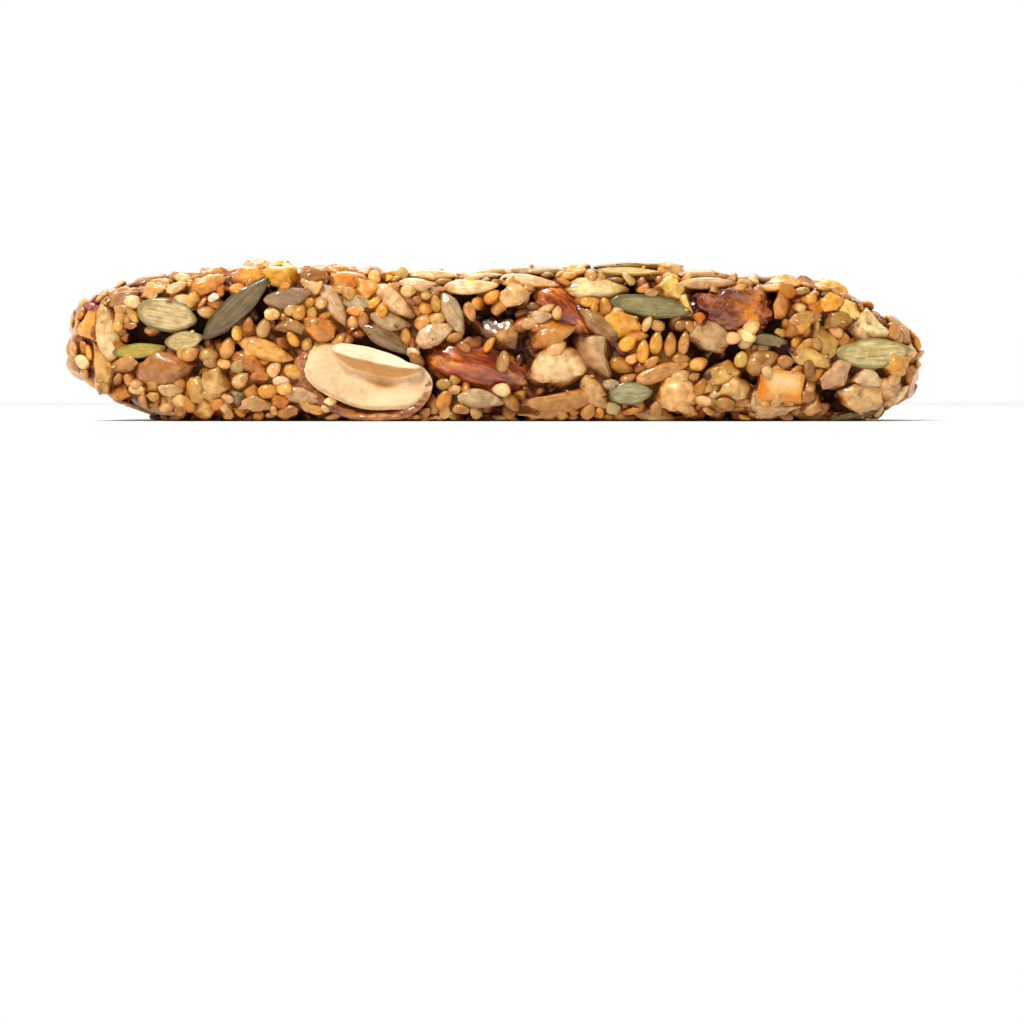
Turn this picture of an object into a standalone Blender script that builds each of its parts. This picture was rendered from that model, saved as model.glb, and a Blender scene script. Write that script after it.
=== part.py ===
"""A nut and seed bar: one pressed finger of sesame, sunflower and pumpkin seeds and chopped nuts.

The bar's core carries the seeds and nut pieces that stand out of it, fused on at their real size.
The whole and cut almonds and the pieces of date are separate solids, each in its own pocket.
Metres, +Z up. The bar lies along X on its flat base, its cut front face towards -Y. The origin is
at the middle of the base.
"""

import math

import bmesh
import bpy
import numpy as np
from mathutils import Matrix, Vector

MM = 0.001

# The bar's form: a rounded block whose top and base heights change along its length.
HALF_LENGTH = 64.5 * MM
HALF_DEPTH = 18.0 * MM
SQUARENESS = 6.0
BASE_TRIM = 0.8 * MM
TOP_HEIGHTS = (
    # distance along the bar, height of its top
    (-64.0 * MM, 20.2 * MM),
    (-48.0 * MM, 22.3 * MM),
    (-35.0 * MM, 23.6 * MM),
    (-8.0 * MM, 22.1 * MM),
    (4.0 * MM, 22.8 * MM),
    (22.0 * MM, 23.2 * MM),
    (34.0 * MM, 22.0 * MM),
    (48.0 * MM, 21.2 * MM),
    (64.0 * MM, 15.8 * MM),
)
LEFT_TOE_LIFT = 5.0 * MM
LEFT_TOE_START = -47.0 * MM
RIGHT_TOE_LIFT = 2.0 * MM
RIGHT_TOE_START = 54.0 * MM

# The core lies this far under the bar's outline, and the pieces fused to it fill the difference.
CORE_INSET = 1.3 * MM
CORE_CUTS = (18, 6, 4)
CORE_BUMP = 0.35 * MM
FLAT_BASE_BAND = 0.9 * MM
POCKET_GAP = 0.35 * MM
FLOOR_GAP = 0.45 * MM
WELD = 0.002 * MM

# How each piece is bedded: the most it stands out of the outline, the most it leans, and the
# least thickness it may have.
MOST_PROUD = 0.6 * MM
MOST_ROLL = 0.25
LEAST_THICKNESS = 2.0 * MM

# Thickness of each kind of piece, as a share of its width.
THICKNESS = {
    "sesame": 0.62,
    "sunflower": 0.62,
    "pumpkin": 0.42,
    "chunk": 0.85,
    "cube": 0.9,
}

# The larger pieces that show in the front face: kind, place along the bar, height, length and
# width in millimetres, and turn in degrees, anticlockwise as seen from the front.
FRONT_PIECES = (
    ("chunk", -60.6, 14.1, 5.6, 4.4, 95),
    ("sunflower", -57.5, 13.2, 8.6, 4.0, 102),
    ("chunk", -58.4, 8.1, 6.6, 3.6, 100),
    ("sunflower", -55.0, 18.2, 6.0, 3.4, 15),
    ("pumpkin", -47.9, 15.6, 9.4, 5.4, -12),
    ("pumpkin", -52.5, 10.4, 8.0, 2.6, 8),
    ("chunk", -45.6, 11.8, 5.4, 3.0, 10),
    ("chunk", -47.8, 7.6, 8.4, 5.0, 0),
    ("sunflower", -53.6, 6.6, 6.0, 3.4, -30),
    ("chunk", -46.7, 19.5, 5.0, 3.2, 5),
    ("pumpkin", -37.8, 16.6, 12.6, 5.0, 42),
    ("chunk", -36.6, 21.4, 5.6, 3.4, 10),
    ("chunk", -30.6, 21.2, 6.4, 3.6, 0),
    ("chunk", -23.0, 20.8, 6.2, 4.0, 0),
    ("sunflower", -29.0, 18.3, 7.4, 3.4, 12),
    ("chunk", -27.2, 13.6, 5.6, 3.4, -5),
    ("sunflower", -33.5, 10.4, 8.6, 3.8, -20),
    ("chunk", -40.7, 6.0, 5.4, 4.8, 20),
    ("sunflower", -35.8, 8.4, 5.0, 3.0, -35),
    ("sunflower", -30.0, 3.6, 6.4, 3.0, -10),
    ("sunflower", -22.8, 15.4, 8.0, 3.4, -62),
    ("sunflower", -15.1, 18.4, 7.0, 3.4, -45),
    ("sunflower", -11.8, 15.0, 6.6, 3.4, -45),
    ("sunflower", -15.8, 14.2, 7.0, 3.2, -20),
    ("sunflower", -8.8, 12.8, 6.6, 3.8, 22),
    ("sunflower", -10.1, 20.1, 8.6, 3.6, -10),
    ("sunflower", -3.1, 19.7, 8.8, 3.6, -2),
    ("sunflower", -6.0, 15.4, 6.6, 3.4, -62),
    ("chunk", 0.9, 12.5, 7.0, 5.6, -30),
    ("sunflower", -2.1, 2.9, 7.6, 3.2, -8),
    ("sunflower", 5.3, 21.0, 8.8, 3.4, -8),
    ("sunflower", 15.4, 19.9, 9.6, 4.2, 0),
    ("chunk", 8.5, 13.1, 7.4, 4.2, 5),
    ("chunk", 8.7, 6.8, 9.4, 7.4, -25),
    ("chunk", 14.7, 10.1, 8.3, 5.8, -40),
    ("chunk", 18.4, 14.4, 5.6, 4.2, 10),
    ("sunflower", 14.7, 4.2, 7.2, 4.6, -50),
    ("chunk", 7.6, 2.6, 10.0, 3.6, 8),
    ("pumpkin", 23.2, 16.6, 12.0, 5.4, -7),
    ("chunk", 25.0, 19.9, 5.4, 3.6, 0),
    ("sunflower", 31.9, 20.6, 9.4, 3.4, 8),
    ("chunk", 31.0, 10.8, 5.6, 4.8, 40),
    ("sunflower", 39.4, 8.8, 6.0, 3.8, 30),
    ("sunflower", 24.2, 8.4, 8.8, 3.4, 20),
    ("pumpkin", 20.1, 4.1, 7.6, 4.2, 5),
    ("chunk", 26.6, 3.8, 6.6, 5.0, 0),
    ("chunk", 35.2, 5.2, 6.0, 4.2, 0),
    ("cube", 42.3, 5.0, 7.1, 4.7, -3),
    ("sunflower", 48.3, 11.8, 6.0, 3.8, -70),
    ("sunflower", 45.9, 15.6, 6.2, 3.2, 10),
    ("chunk", 51.4, 17.0, 5.6, 3.4, -20),
    ("chunk", 55.4, 13.7, 7.0, 5.4, 15),
    ("pumpkin", 56.0, 9.8, 11.6, 5.4, 3),
    ("chunk", 49.8, 6.2, 5.4, 4.6, 60),
    ("chunk", 55.2, 4.4, 7.6, 6.0, 10),
    ("chunk", 60.4, 4.6, 5.4, 4.2, 20),
)

# Almonds and pieces of date, each a solid of its own: name, form, side of the bar, place along it
# and across that side, length, width and thickness in millimetres, turn in degrees, and how far
# the piece stands out of the outline.
LARGE_PIECES = (
    ("almond_cut", "half_almond", "front", -18.5, 6.5, 19.4, 11.6, 8.0, -10, 0.5),
    ("almond_whole", "almond", "front", -1.9, 7.9, 17.6, 9.0, 7.6, -14, 0.2),
    ("almond_upper", "almond", "front", 10.4, 16.4, 11.5, 7.0, 6.0, -40, -0.3),
    ("date_front", "date", "front", 35.4, 16.6, 14.6, 8.4, 7.0, -5, 0.4),
    ("almond_top", "almond", "top", -24.0, 3.0, 20.0, 12.0, 7.6, 25, 0.6),
    ("date_top", "date", "top", 20.0, 4.0, 15.0, 9.0, 6.4, -35, 0.5),
    ("almond_back", "almond", "back", 26.0, 11.0, 19.5, 11.4, 7.6, 12, 0.4),
    ("date_back", "date", "back", -30.0, 12.0, 14.0, 8.6, 6.6, -20, 0.4),
)
ALMOND_SIDES = 16
ALMOND_RINGS = 9
ALMOND_TAPER = 0.42
HALF_ALMOND_LEVEL = 0.12
DATE_SEED = 5

# Pieces scattered over every side but the base, the largest first: kind, how many, shortest and
# longest in millimetres, and width as a share of the length.
SCATTER_SEED = 7
SCATTER_ROWS = (
    ("pumpkin", 20, 10.0, 12.8, 0.54),
    ("sunflower", 58, 7.4, 9.8, 0.47),
    ("chunk", 62, 5.0, 8.4, 0.74),
    ("cube", 6, 5.0, 7.0, 0.80),
    ("sesame", 30, 3.0, 3.5, 0.66),
)
SCATTER_SIDES = ("front", "top", "back", "left", "right")
SCATTER_WEIGHTS = (0.20, 0.42, 0.24, 0.07, 0.07)
PLACES_TRIED = 200
ROOM_SHARE = 0.225
LARGE_ROOM_SHARE = 0.23
LOWEST_SCATTERED = 2.0 * MM


def smooth_step(value):
    value = min(max(value, 0.0), 1.0)
    return value * value * (3.0 - 2.0 * value)


def top_height(x):
    """Height of the bar's top at a place along it, eased between the stations."""
    x = min(max(x, TOP_HEIGHTS[0][0]), TOP_HEIGHTS[-1][0])
    for (x0, z0), (x1, z1) in zip(TOP_HEIGHTS, TOP_HEIGHTS[1:]):
        if x <= x1:
            return z0 + (z1 - z0) * smooth_step((x - x0) / (x1 - x0))
    return TOP_HEIGHTS[-1][1]


def base_height(x):
    """Height of the bar's underside, which is flat apart from its lifted ends."""
    left = smooth_step((LEFT_TOE_START - x) / (HALF_LENGTH + LEFT_TOE_START))
    right = smooth_step((x - RIGHT_TOE_START) / (HALF_LENGTH - RIGHT_TOE_START))
    return LEFT_TOE_LIFT * left + RIGHT_TOE_LIFT * right


def form_point(u, v, w, inset=0.0):
    """The point of the bar's outline, or of a block inset in it, that faces (u, v, w)."""
    p = SQUARENESS
    scale = (abs(u) ** p + abs(v) ** p + abs(w) ** p) ** (-1.0 / p)
    x = (HALF_LENGTH - inset) * u * scale
    low = base_height(x) - BASE_TRIM
    high = top_height(x)
    middle = 0.5 * (low + high)
    half_height = 0.5 * (high - low) - inset
    return Vector((x, (HALF_DEPTH - inset) * v * scale, middle + half_height * w * scale))


def form_normal(u, v, w):
    """Outward normal of the outline at the point that faces (u, v, w)."""
    step = 0.004
    major = max(range(3), key=lambda axis: abs((u, v, w)[axis]))
    edges = []
    for axis in range(3):
        if axis == major:
            continue
        low = [u, v, w]
        high = [u, v, w]
        low[axis] -= step
        high[axis] += step
        edges.append(form_point(*high) - form_point(*low))
    normal = edges[0].cross(edges[1]).normalized()
    here = form_point(u, v, w)
    outward = here - Vector((here.x * 0.9, 0.0, 0.5 * top_height(here.x)))
    return normal if normal.dot(outward) > 0.0 else -normal


def facing(side, along, across):
    """Direction that faces a place on a side of the bar: along it, and across that side."""
    u = along / HALF_LENGTH
    if side == "top":
        return (u, across / HALF_DEPTH, 1.0)
    low = base_height(along) - BASE_TRIM
    high = top_height(along)
    w = (across - 0.5 * (low + high)) / (0.5 * (high - low))
    v = max(1.0 - abs(u) ** SQUARENESS - abs(w) ** SQUARENESS, 0.02) ** (1.0 / SQUARENESS)
    return (u, -v, w) if side == "front" else (u, v, w)


def piece_axes(normal, turn, roll=0.0):
    """Matrix whose X is a piece's length, Y its width and Z its outer side."""
    guide = Vector((1.0, 0.0, 0.0)) if abs(normal.x) < 0.85 else Vector((0.0, 1.0, 0.0))
    flat = (guide - normal * guide.dot(normal)).normalized()
    up = normal.cross(flat)
    length_axis = flat * math.cos(turn) + up * math.sin(turn)
    width_axis = normal.cross(length_axis)
    axes = Matrix((length_axis, width_axis, normal)).transposed()
    return axes @ Matrix.Rotation(roll, 3, "X")


def stretched(point, size):
    return Vector((point.x * size.x, point.y * size.y, point.z * size.z))


def teardrop(work, size, sides=6, rings=3, taper=0.30):
    """A seed: a flattened ball that narrows towards +X."""
    turned = Matrix.Rotation(math.pi / 2, 4, "Y")
    bmesh.ops.create_uvsphere(work, u_segments=sides, v_segments=rings, radius=0.5, matrix=turned)
    for vertex in work.verts:
        narrow = 1.0 - taper * (vertex.co.x + 0.5)
        vertex.co = stretched(vertex.co, Vector((size.x, size.y * narrow, size.z)))


def flat_seed(work, size):
    """A pumpkin seed: a flat oval, pointed at one end."""
    bmesh.ops.create_uvsphere(work, u_segments=7, v_segments=3, radius=0.5)
    for vertex in work.verts:
        narrow = 1.0 - 0.7 * max(vertex.co.x, 0.0)
        vertex.co = stretched(vertex.co, Vector((size.x, size.y * narrow, size.z)))


def broken_nut(work, size, draw):
    """A chopped nut: a twenty-sided ball knocked out of shape."""
    bmesh.ops.create_icosphere(work, subdivisions=1, radius=0.5)
    for vertex in work.verts:
        vertex.co = stretched(vertex.co, size * draw.uniform(0.88, 1.16))


def diced_nut(work, size, draw):
    """A nut cut to a rough block."""
    bmesh.ops.create_cube(work, size=0.9)
    for vertex in work.verts:
        knocked = Vector([draw.uniform(0.85, 1.05) for _ in range(3)])
        vertex.co = stretched(stretched(vertex.co, size), knocked)


def date_lump(work, size):
    """A torn piece of date: a soft irregular lump."""
    draw = np.random.RandomState(DATE_SEED)
    bmesh.ops.create_icosphere(work, subdivisions=2, radius=0.5)
    for vertex in work.verts:
        vertex.co = stretched(vertex.co, size * draw.uniform(0.93, 1.07))


def whole_almond(work, size):
    """An almond: a fat teardrop with a blunt end at -X and a point at +X."""
    teardrop(work, size, sides=ALMOND_SIDES, rings=ALMOND_RINGS, taper=ALMOND_TAPER)


def half_almond(work, size):
    """An almond sliced along its length, with its flat cut side outwards."""
    whole_almond(work, size)
    cut = bmesh.ops.bisect_plane(
        work,
        geom=work.verts[:] + work.edges[:] + work.faces[:],
        plane_co=(0.0, 0.0, HALF_ALMOND_LEVEL * size.z),
        plane_no=(0.0, 0.0, 1.0),
        clear_outer=True,
    )
    rim = [item for item in cut["geom_cut"] if isinstance(item, bmesh.types.BMEdge)]
    bmesh.ops.contextual_create(work, geom=rim)
    bmesh.ops.recalc_face_normals(work, faces=work.faces)


def add_object(name, work, matrix, collection):
    """Adds a mesh made around its own origin as an object, and places it."""
    mesh = bpy.data.meshes.new(name)
    work.to_mesh(mesh)
    work.free()
    made = bpy.data.objects.new(name, mesh)
    made.matrix_world = matrix
    collection.objects.link(made)
    return made


def fill_piece(work, kind, size, draw):
    """Fills a mesh with a seed or nut piece of this kind."""
    if kind == "sesame":
        teardrop(work, size, sides=5, taper=0.35)
    elif kind == "sunflower":
        teardrop(work, size)
    elif kind == "pumpkin":
        flat_seed(work, size)
    elif kind == "cube":
        diced_nut(work, size, draw)
    else:
        broken_nut(work, size, draw)


def add_piece(name, kind, face, length, width, turn, draw, collection):
    """One seed or nut piece, bedded in the outline with its outer side just proud of it."""
    size = Vector((length, width, max(width * THICKNESS[kind], LEAST_THICKNESS)))
    normal = form_normal(*face)
    axes = piece_axes(normal, turn, draw.uniform(-MOST_ROLL, MOST_ROLL))
    place = form_point(*face) - normal * (0.5 * size.z - draw.uniform(0.0, MOST_PROUD))
    reach = sum(abs(axes[2][axis]) * size[axis] * 0.5 for axis in range(3))
    place.z = max(place.z, FLOOR_GAP + reach)
    work = bmesh.new()
    fill_piece(work, kind, size, draw)
    return add_object(name, work, Matrix.Translation(place) @ axes.to_4x4(), collection)


def add_large_piece(name, row, growth, collection):
    """An almond or a piece of date, or with some growth the cutter that makes its pocket."""
    form, side, along, across, length, width, depth, turn, proud = row
    face = facing(side, along * MM, across * MM)
    normal = form_normal(*face)
    size = Vector((length, width, depth)) * MM
    outer = HALF_ALMOND_LEVEL if form == "half_almond" else 0.5
    place = form_point(*face) - normal * (outer * size.z - proud * MM)
    axes = piece_axes(normal, math.radians(turn))
    grown = size + Vector((2.0 * growth, 2.0 * growth, 2.0 * growth))
    work = bmesh.new()
    if form == "date":
        date_lump(work, grown)
    elif form == "half_almond" and growth == 0.0:
        half_almond(work, grown)
    else:
        whole_almond(work, grown)
    return add_object(name, work, Matrix.Translation(place) @ axes.to_4x4(), collection)


def side_face(side, draw):
    """A random direction that faces one side of the bar."""
    first = draw.uniform(-0.98, 0.98)
    second = draw.uniform(-0.95, 0.95)
    if side == "top":
        return (first, second, 1.0)
    if side in ("front", "back"):
        return (first, -1.0 if side == "front" else 1.0, second)
    return (-1.0 if side == "left" else 1.0, second, first)


def is_free(place, room, taken):
    if place.z < base_height(place.x) + LOWEST_SCATTERED:
        return False
    return all((place - other).length > room + other_room for other, other_room in taken)


def scattered_pieces(taken, draw):
    """Finds room for pieces around those already placed, each clear of those before it."""
    found = []
    for kind, count, shortest, longest, share in SCATTER_ROWS:
        for _ in range(count):
            length = draw.uniform(shortest, longest) * MM
            width = length * share
            room = ROOM_SHARE * (length + width)
            for _ in range(PLACES_TRIED):
                face = side_face(draw.choice(SCATTER_SIDES, p=SCATTER_WEIGHTS), draw)
                place = form_point(*face)
                if is_free(place, room, taken):
                    taken.append((place, room))
                    found.append((kind, face, length, width, draw.uniform(0.0, math.pi)))
                    break
    return found


def make_core(collection):
    """The pressed block under the pieces, with low bumps and a flat base."""
    work = bmesh.new()
    bmesh.ops.create_cube(work, size=2.0)
    for axis, cuts in enumerate(CORE_CUTS):
        normal = Vector((0.0, 0.0, 0.0))
        normal[axis] = 1.0
        for step in range(1, cuts):
            geometry = work.verts[:] + work.edges[:] + work.faces[:]
            place = normal * (-1.0 + 2.0 * step / cuts)
            bmesh.ops.bisect_plane(work, geom=geometry, plane_co=place, plane_no=normal)
    draw = np.random.RandomState(SCATTER_SEED)
    for vertex in work.verts:
        inset = CORE_INSET + draw.uniform(-CORE_BUMP, CORE_BUMP)
        on_base = vertex.co.z < -0.999
        vertex.co = form_point(*vertex.co, inset=inset)
        if on_base and vertex.co.z < inset + FLAT_BASE_BAND:
            vertex.co.z = 0.0
    return add_object("bar", work, Matrix.Identity(4), collection)


def apply_boolean(target, operation, cutters):
    """Joins or cuts the target with everything in a collection, and applies it."""
    modifier = target.modifiers.new(operation.lower(), "BOOLEAN")
    modifier.operation = operation
    modifier.operand_type = "COLLECTION"
    modifier.collection = cutters
    modifier.solver = "EXACT"
    graph = bpy.context.evaluated_depsgraph_get()
    joined = bpy.data.meshes.new_from_object(target.evaluated_get(graph))
    target.modifiers.clear()
    target.data = joined


def connected_bodies(work):
    """The vertices of each separate body in a mesh."""
    left = set(work.verts)
    bodies = []
    while left:
        queue = [left.pop()]
        body = set(queue)
        while queue:
            for edge in queue.pop().link_edges:
                reached = left.intersection(edge.verts)
                left -= reached
                body |= reached
                queue.extend(reached)
        bodies.append(body)
    return bodies


def drop_scraps(target):
    """Keeps the largest connected body of a mesh: a cut can leave loose crumbs and hollows."""
    work = bmesh.new()
    work.from_mesh(target.data)
    bmesh.ops.remove_doubles(work, verts=work.verts, dist=WELD)
    largest = max(connected_bodies(work), key=len)
    scraps = [vertex for vertex in work.verts if vertex not in largest]
    bmesh.ops.delete(work, geom=scraps, context="VERTS")
    bmesh.ops.triangulate(work, faces=work.faces)
    work.to_mesh(target.data)
    work.free()


def empty_collection(collection):
    for item in list(collection.objects):
        bpy.data.objects.remove(item)
    bpy.data.collections.remove(collection)


def new_collection(name):
    made = bpy.data.collections.new(name)
    bpy.context.scene.collection.children.link(made)
    return made


def material(name, colour, roughness):
    made = bpy.data.materials.new(name)
    made.use_nodes = True
    shader = made.node_tree.nodes["Principled BSDF"]
    shader.inputs["Base Color"].default_value = (*colour, 1.0)
    shader.inputs["Roughness"].default_value = roughness
    shader.inputs["Metallic"].default_value = 0.0
    return made


def main():
    for item in list(bpy.data.objects):
        bpy.data.objects.remove(item)
    parts = new_collection("nut_bar")
    pieces = new_collection("fused_pieces")
    pockets = new_collection("pockets")
    draw = np.random.RandomState(SCATTER_SEED)

    core = make_core(parts)
    taken = []
    for index, (kind, along, height, length, width, turn) in enumerate(FRONT_PIECES):
        face = facing("front", along * MM, height * MM)
        taken.append((form_point(*face), ROOM_SHARE * (length + width) * MM))
        turn = math.radians(turn)
        add_piece(f"front_{index}", kind, face, length * MM, width * MM, turn, draw, pieces)
    for name, *row in LARGE_PIECES:
        form, side, along, across, length, width = row[:6]
        place = form_point(*facing(side, along * MM, across * MM))
        taken.append((place, LARGE_ROOM_SHARE * (length + width) * MM))
        add_large_piece("pocket_" + name, row, POCKET_GAP, pockets)
    for index, (kind, face, length, width, turn) in enumerate(scattered_pieces(taken, draw)):
        add_piece(f"side_{index}", kind, face, length, width, turn, draw, pieces)

    apply_boolean(core, "UNION", pieces)
    apply_boolean(core, "DIFFERENCE", pockets)
    drop_scraps(core)
    empty_collection(pieces)
    empty_collection(pockets)

    core.data.materials.clear()
    core.data.materials.append(material("bound_seeds", (0.62, 0.40, 0.18), 0.45))
    finishes = {
        "almond": material("almond_skin", (0.30, 0.09, 0.035), 0.35),
        "half_almond": material("almond_flesh", (0.86, 0.68, 0.44), 0.5),
        "date": material("date_flesh", (0.16, 0.045, 0.015), 0.2),
    }
    for name, *row in LARGE_PIECES:
        made = add_large_piece(name, row, 0.0, parts)
        made.data.materials.append(finishes[row[0]])
        made.data.shade_smooth()


main()
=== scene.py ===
"""The looks of a nut and seed bar: seeds, nuts, almonds and date, stuck together with syrup.

Every seed is a mesh at true size. Those that face the camera stand at their own places, from the
table FRONT_PIECES; the rest are spread by a seeded rule over the same rounded form as the solids.
Lengths are in metres unless a name or a comment says millimetres.
"""

import math

import bmesh
import bpy
import numpy as np
from mathutils import Matrix, Vector, noise


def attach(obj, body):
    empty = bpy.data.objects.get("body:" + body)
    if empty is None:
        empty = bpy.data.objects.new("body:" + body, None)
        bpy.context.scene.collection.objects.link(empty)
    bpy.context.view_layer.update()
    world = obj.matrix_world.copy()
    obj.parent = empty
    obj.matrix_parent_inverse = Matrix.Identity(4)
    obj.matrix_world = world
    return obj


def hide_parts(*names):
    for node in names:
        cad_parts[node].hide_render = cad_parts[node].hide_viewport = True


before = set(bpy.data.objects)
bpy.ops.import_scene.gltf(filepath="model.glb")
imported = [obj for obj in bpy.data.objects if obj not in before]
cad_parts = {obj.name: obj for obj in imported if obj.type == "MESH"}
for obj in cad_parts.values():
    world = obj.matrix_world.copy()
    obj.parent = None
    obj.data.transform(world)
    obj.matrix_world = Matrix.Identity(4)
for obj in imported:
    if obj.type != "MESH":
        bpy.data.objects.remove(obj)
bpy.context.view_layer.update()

MM = 0.001
SEED = 20

# The bar's form, as the solids have it: a rounded block with a top and a base that change height.
HALF_LENGTH = 64.5 * MM
HALF_DEPTH = 18.0 * MM
SQUARENESS = 6.0
BASE_TRIM = 0.8 * MM
TOP_STATIONS = np.array((-64.0, -48.0, -35.0, -8.0, 4.0, 22.0, 34.0, 48.0, 64.0)) * MM
TOP_HEIGHTS = np.array((20.2, 22.3, 23.6, 22.1, 22.8, 23.2, 22.0, 21.2, 15.8)) * MM
LEFT_TOE_LIFT = 5.0 * MM
LEFT_TOE_START = -47.0 * MM
RIGHT_TOE_LIFT = 2.0 * MM
RIGHT_TOE_START = 54.0 * MM

# Colours by name, as screen red, green and blue. Each piece varies from its colour, by about
# TINT_SPREAD in brightness and HUE_SPREAD in each of the three.
COLOURS = {
    "amber": (200, 126, 46),
    "beige": (238, 200, 150),
    "beige_grey": (208, 178, 140),
    "caramel": (200, 138, 72),
    "cream": (226, 186, 126),
    "dark_green": (140, 132, 100),
    "dark_olive": (130, 120, 88),
    "golden": (226, 164, 66),
    "golden_cream": (214, 164, 88),
    "golden_olive": (214, 170, 64),
    "grey_brown": (164, 140, 112),
    "grey_cream": (212, 188, 154),
    "grey_green": (194, 186, 152),
    "orange": (226, 158, 70),
    "orange_cube": (236, 160, 70),
    "pale_cream": (238, 210, 168),
    "pale_green": (212, 200, 152),
    "pink_cream": (222, 184, 140),
    "tan": (196, 146, 82),
    "walnut": (184, 144, 96),
    "white": (232, 222, 210),
    "yellow": (240, 182, 62),
    "yellow_cream": (230, 190, 106),
    "yellow_green": (180, 164, 64),
}
TINT_SPREAD = 0.15
HUE_SPREAD = 0.035

# Thickness of each kind of piece, as a share of its width, and the least that any piece has.
THICKNESS = {
    "sesame": 0.66, "granule": 0.8, "sunflower": 0.66, "pumpkin": 0.36,
    "chunk": 0.8, "nut": 0.8, "cube": 0.9,
}
LEAST_THICKNESS = 0.9 * MM

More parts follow.
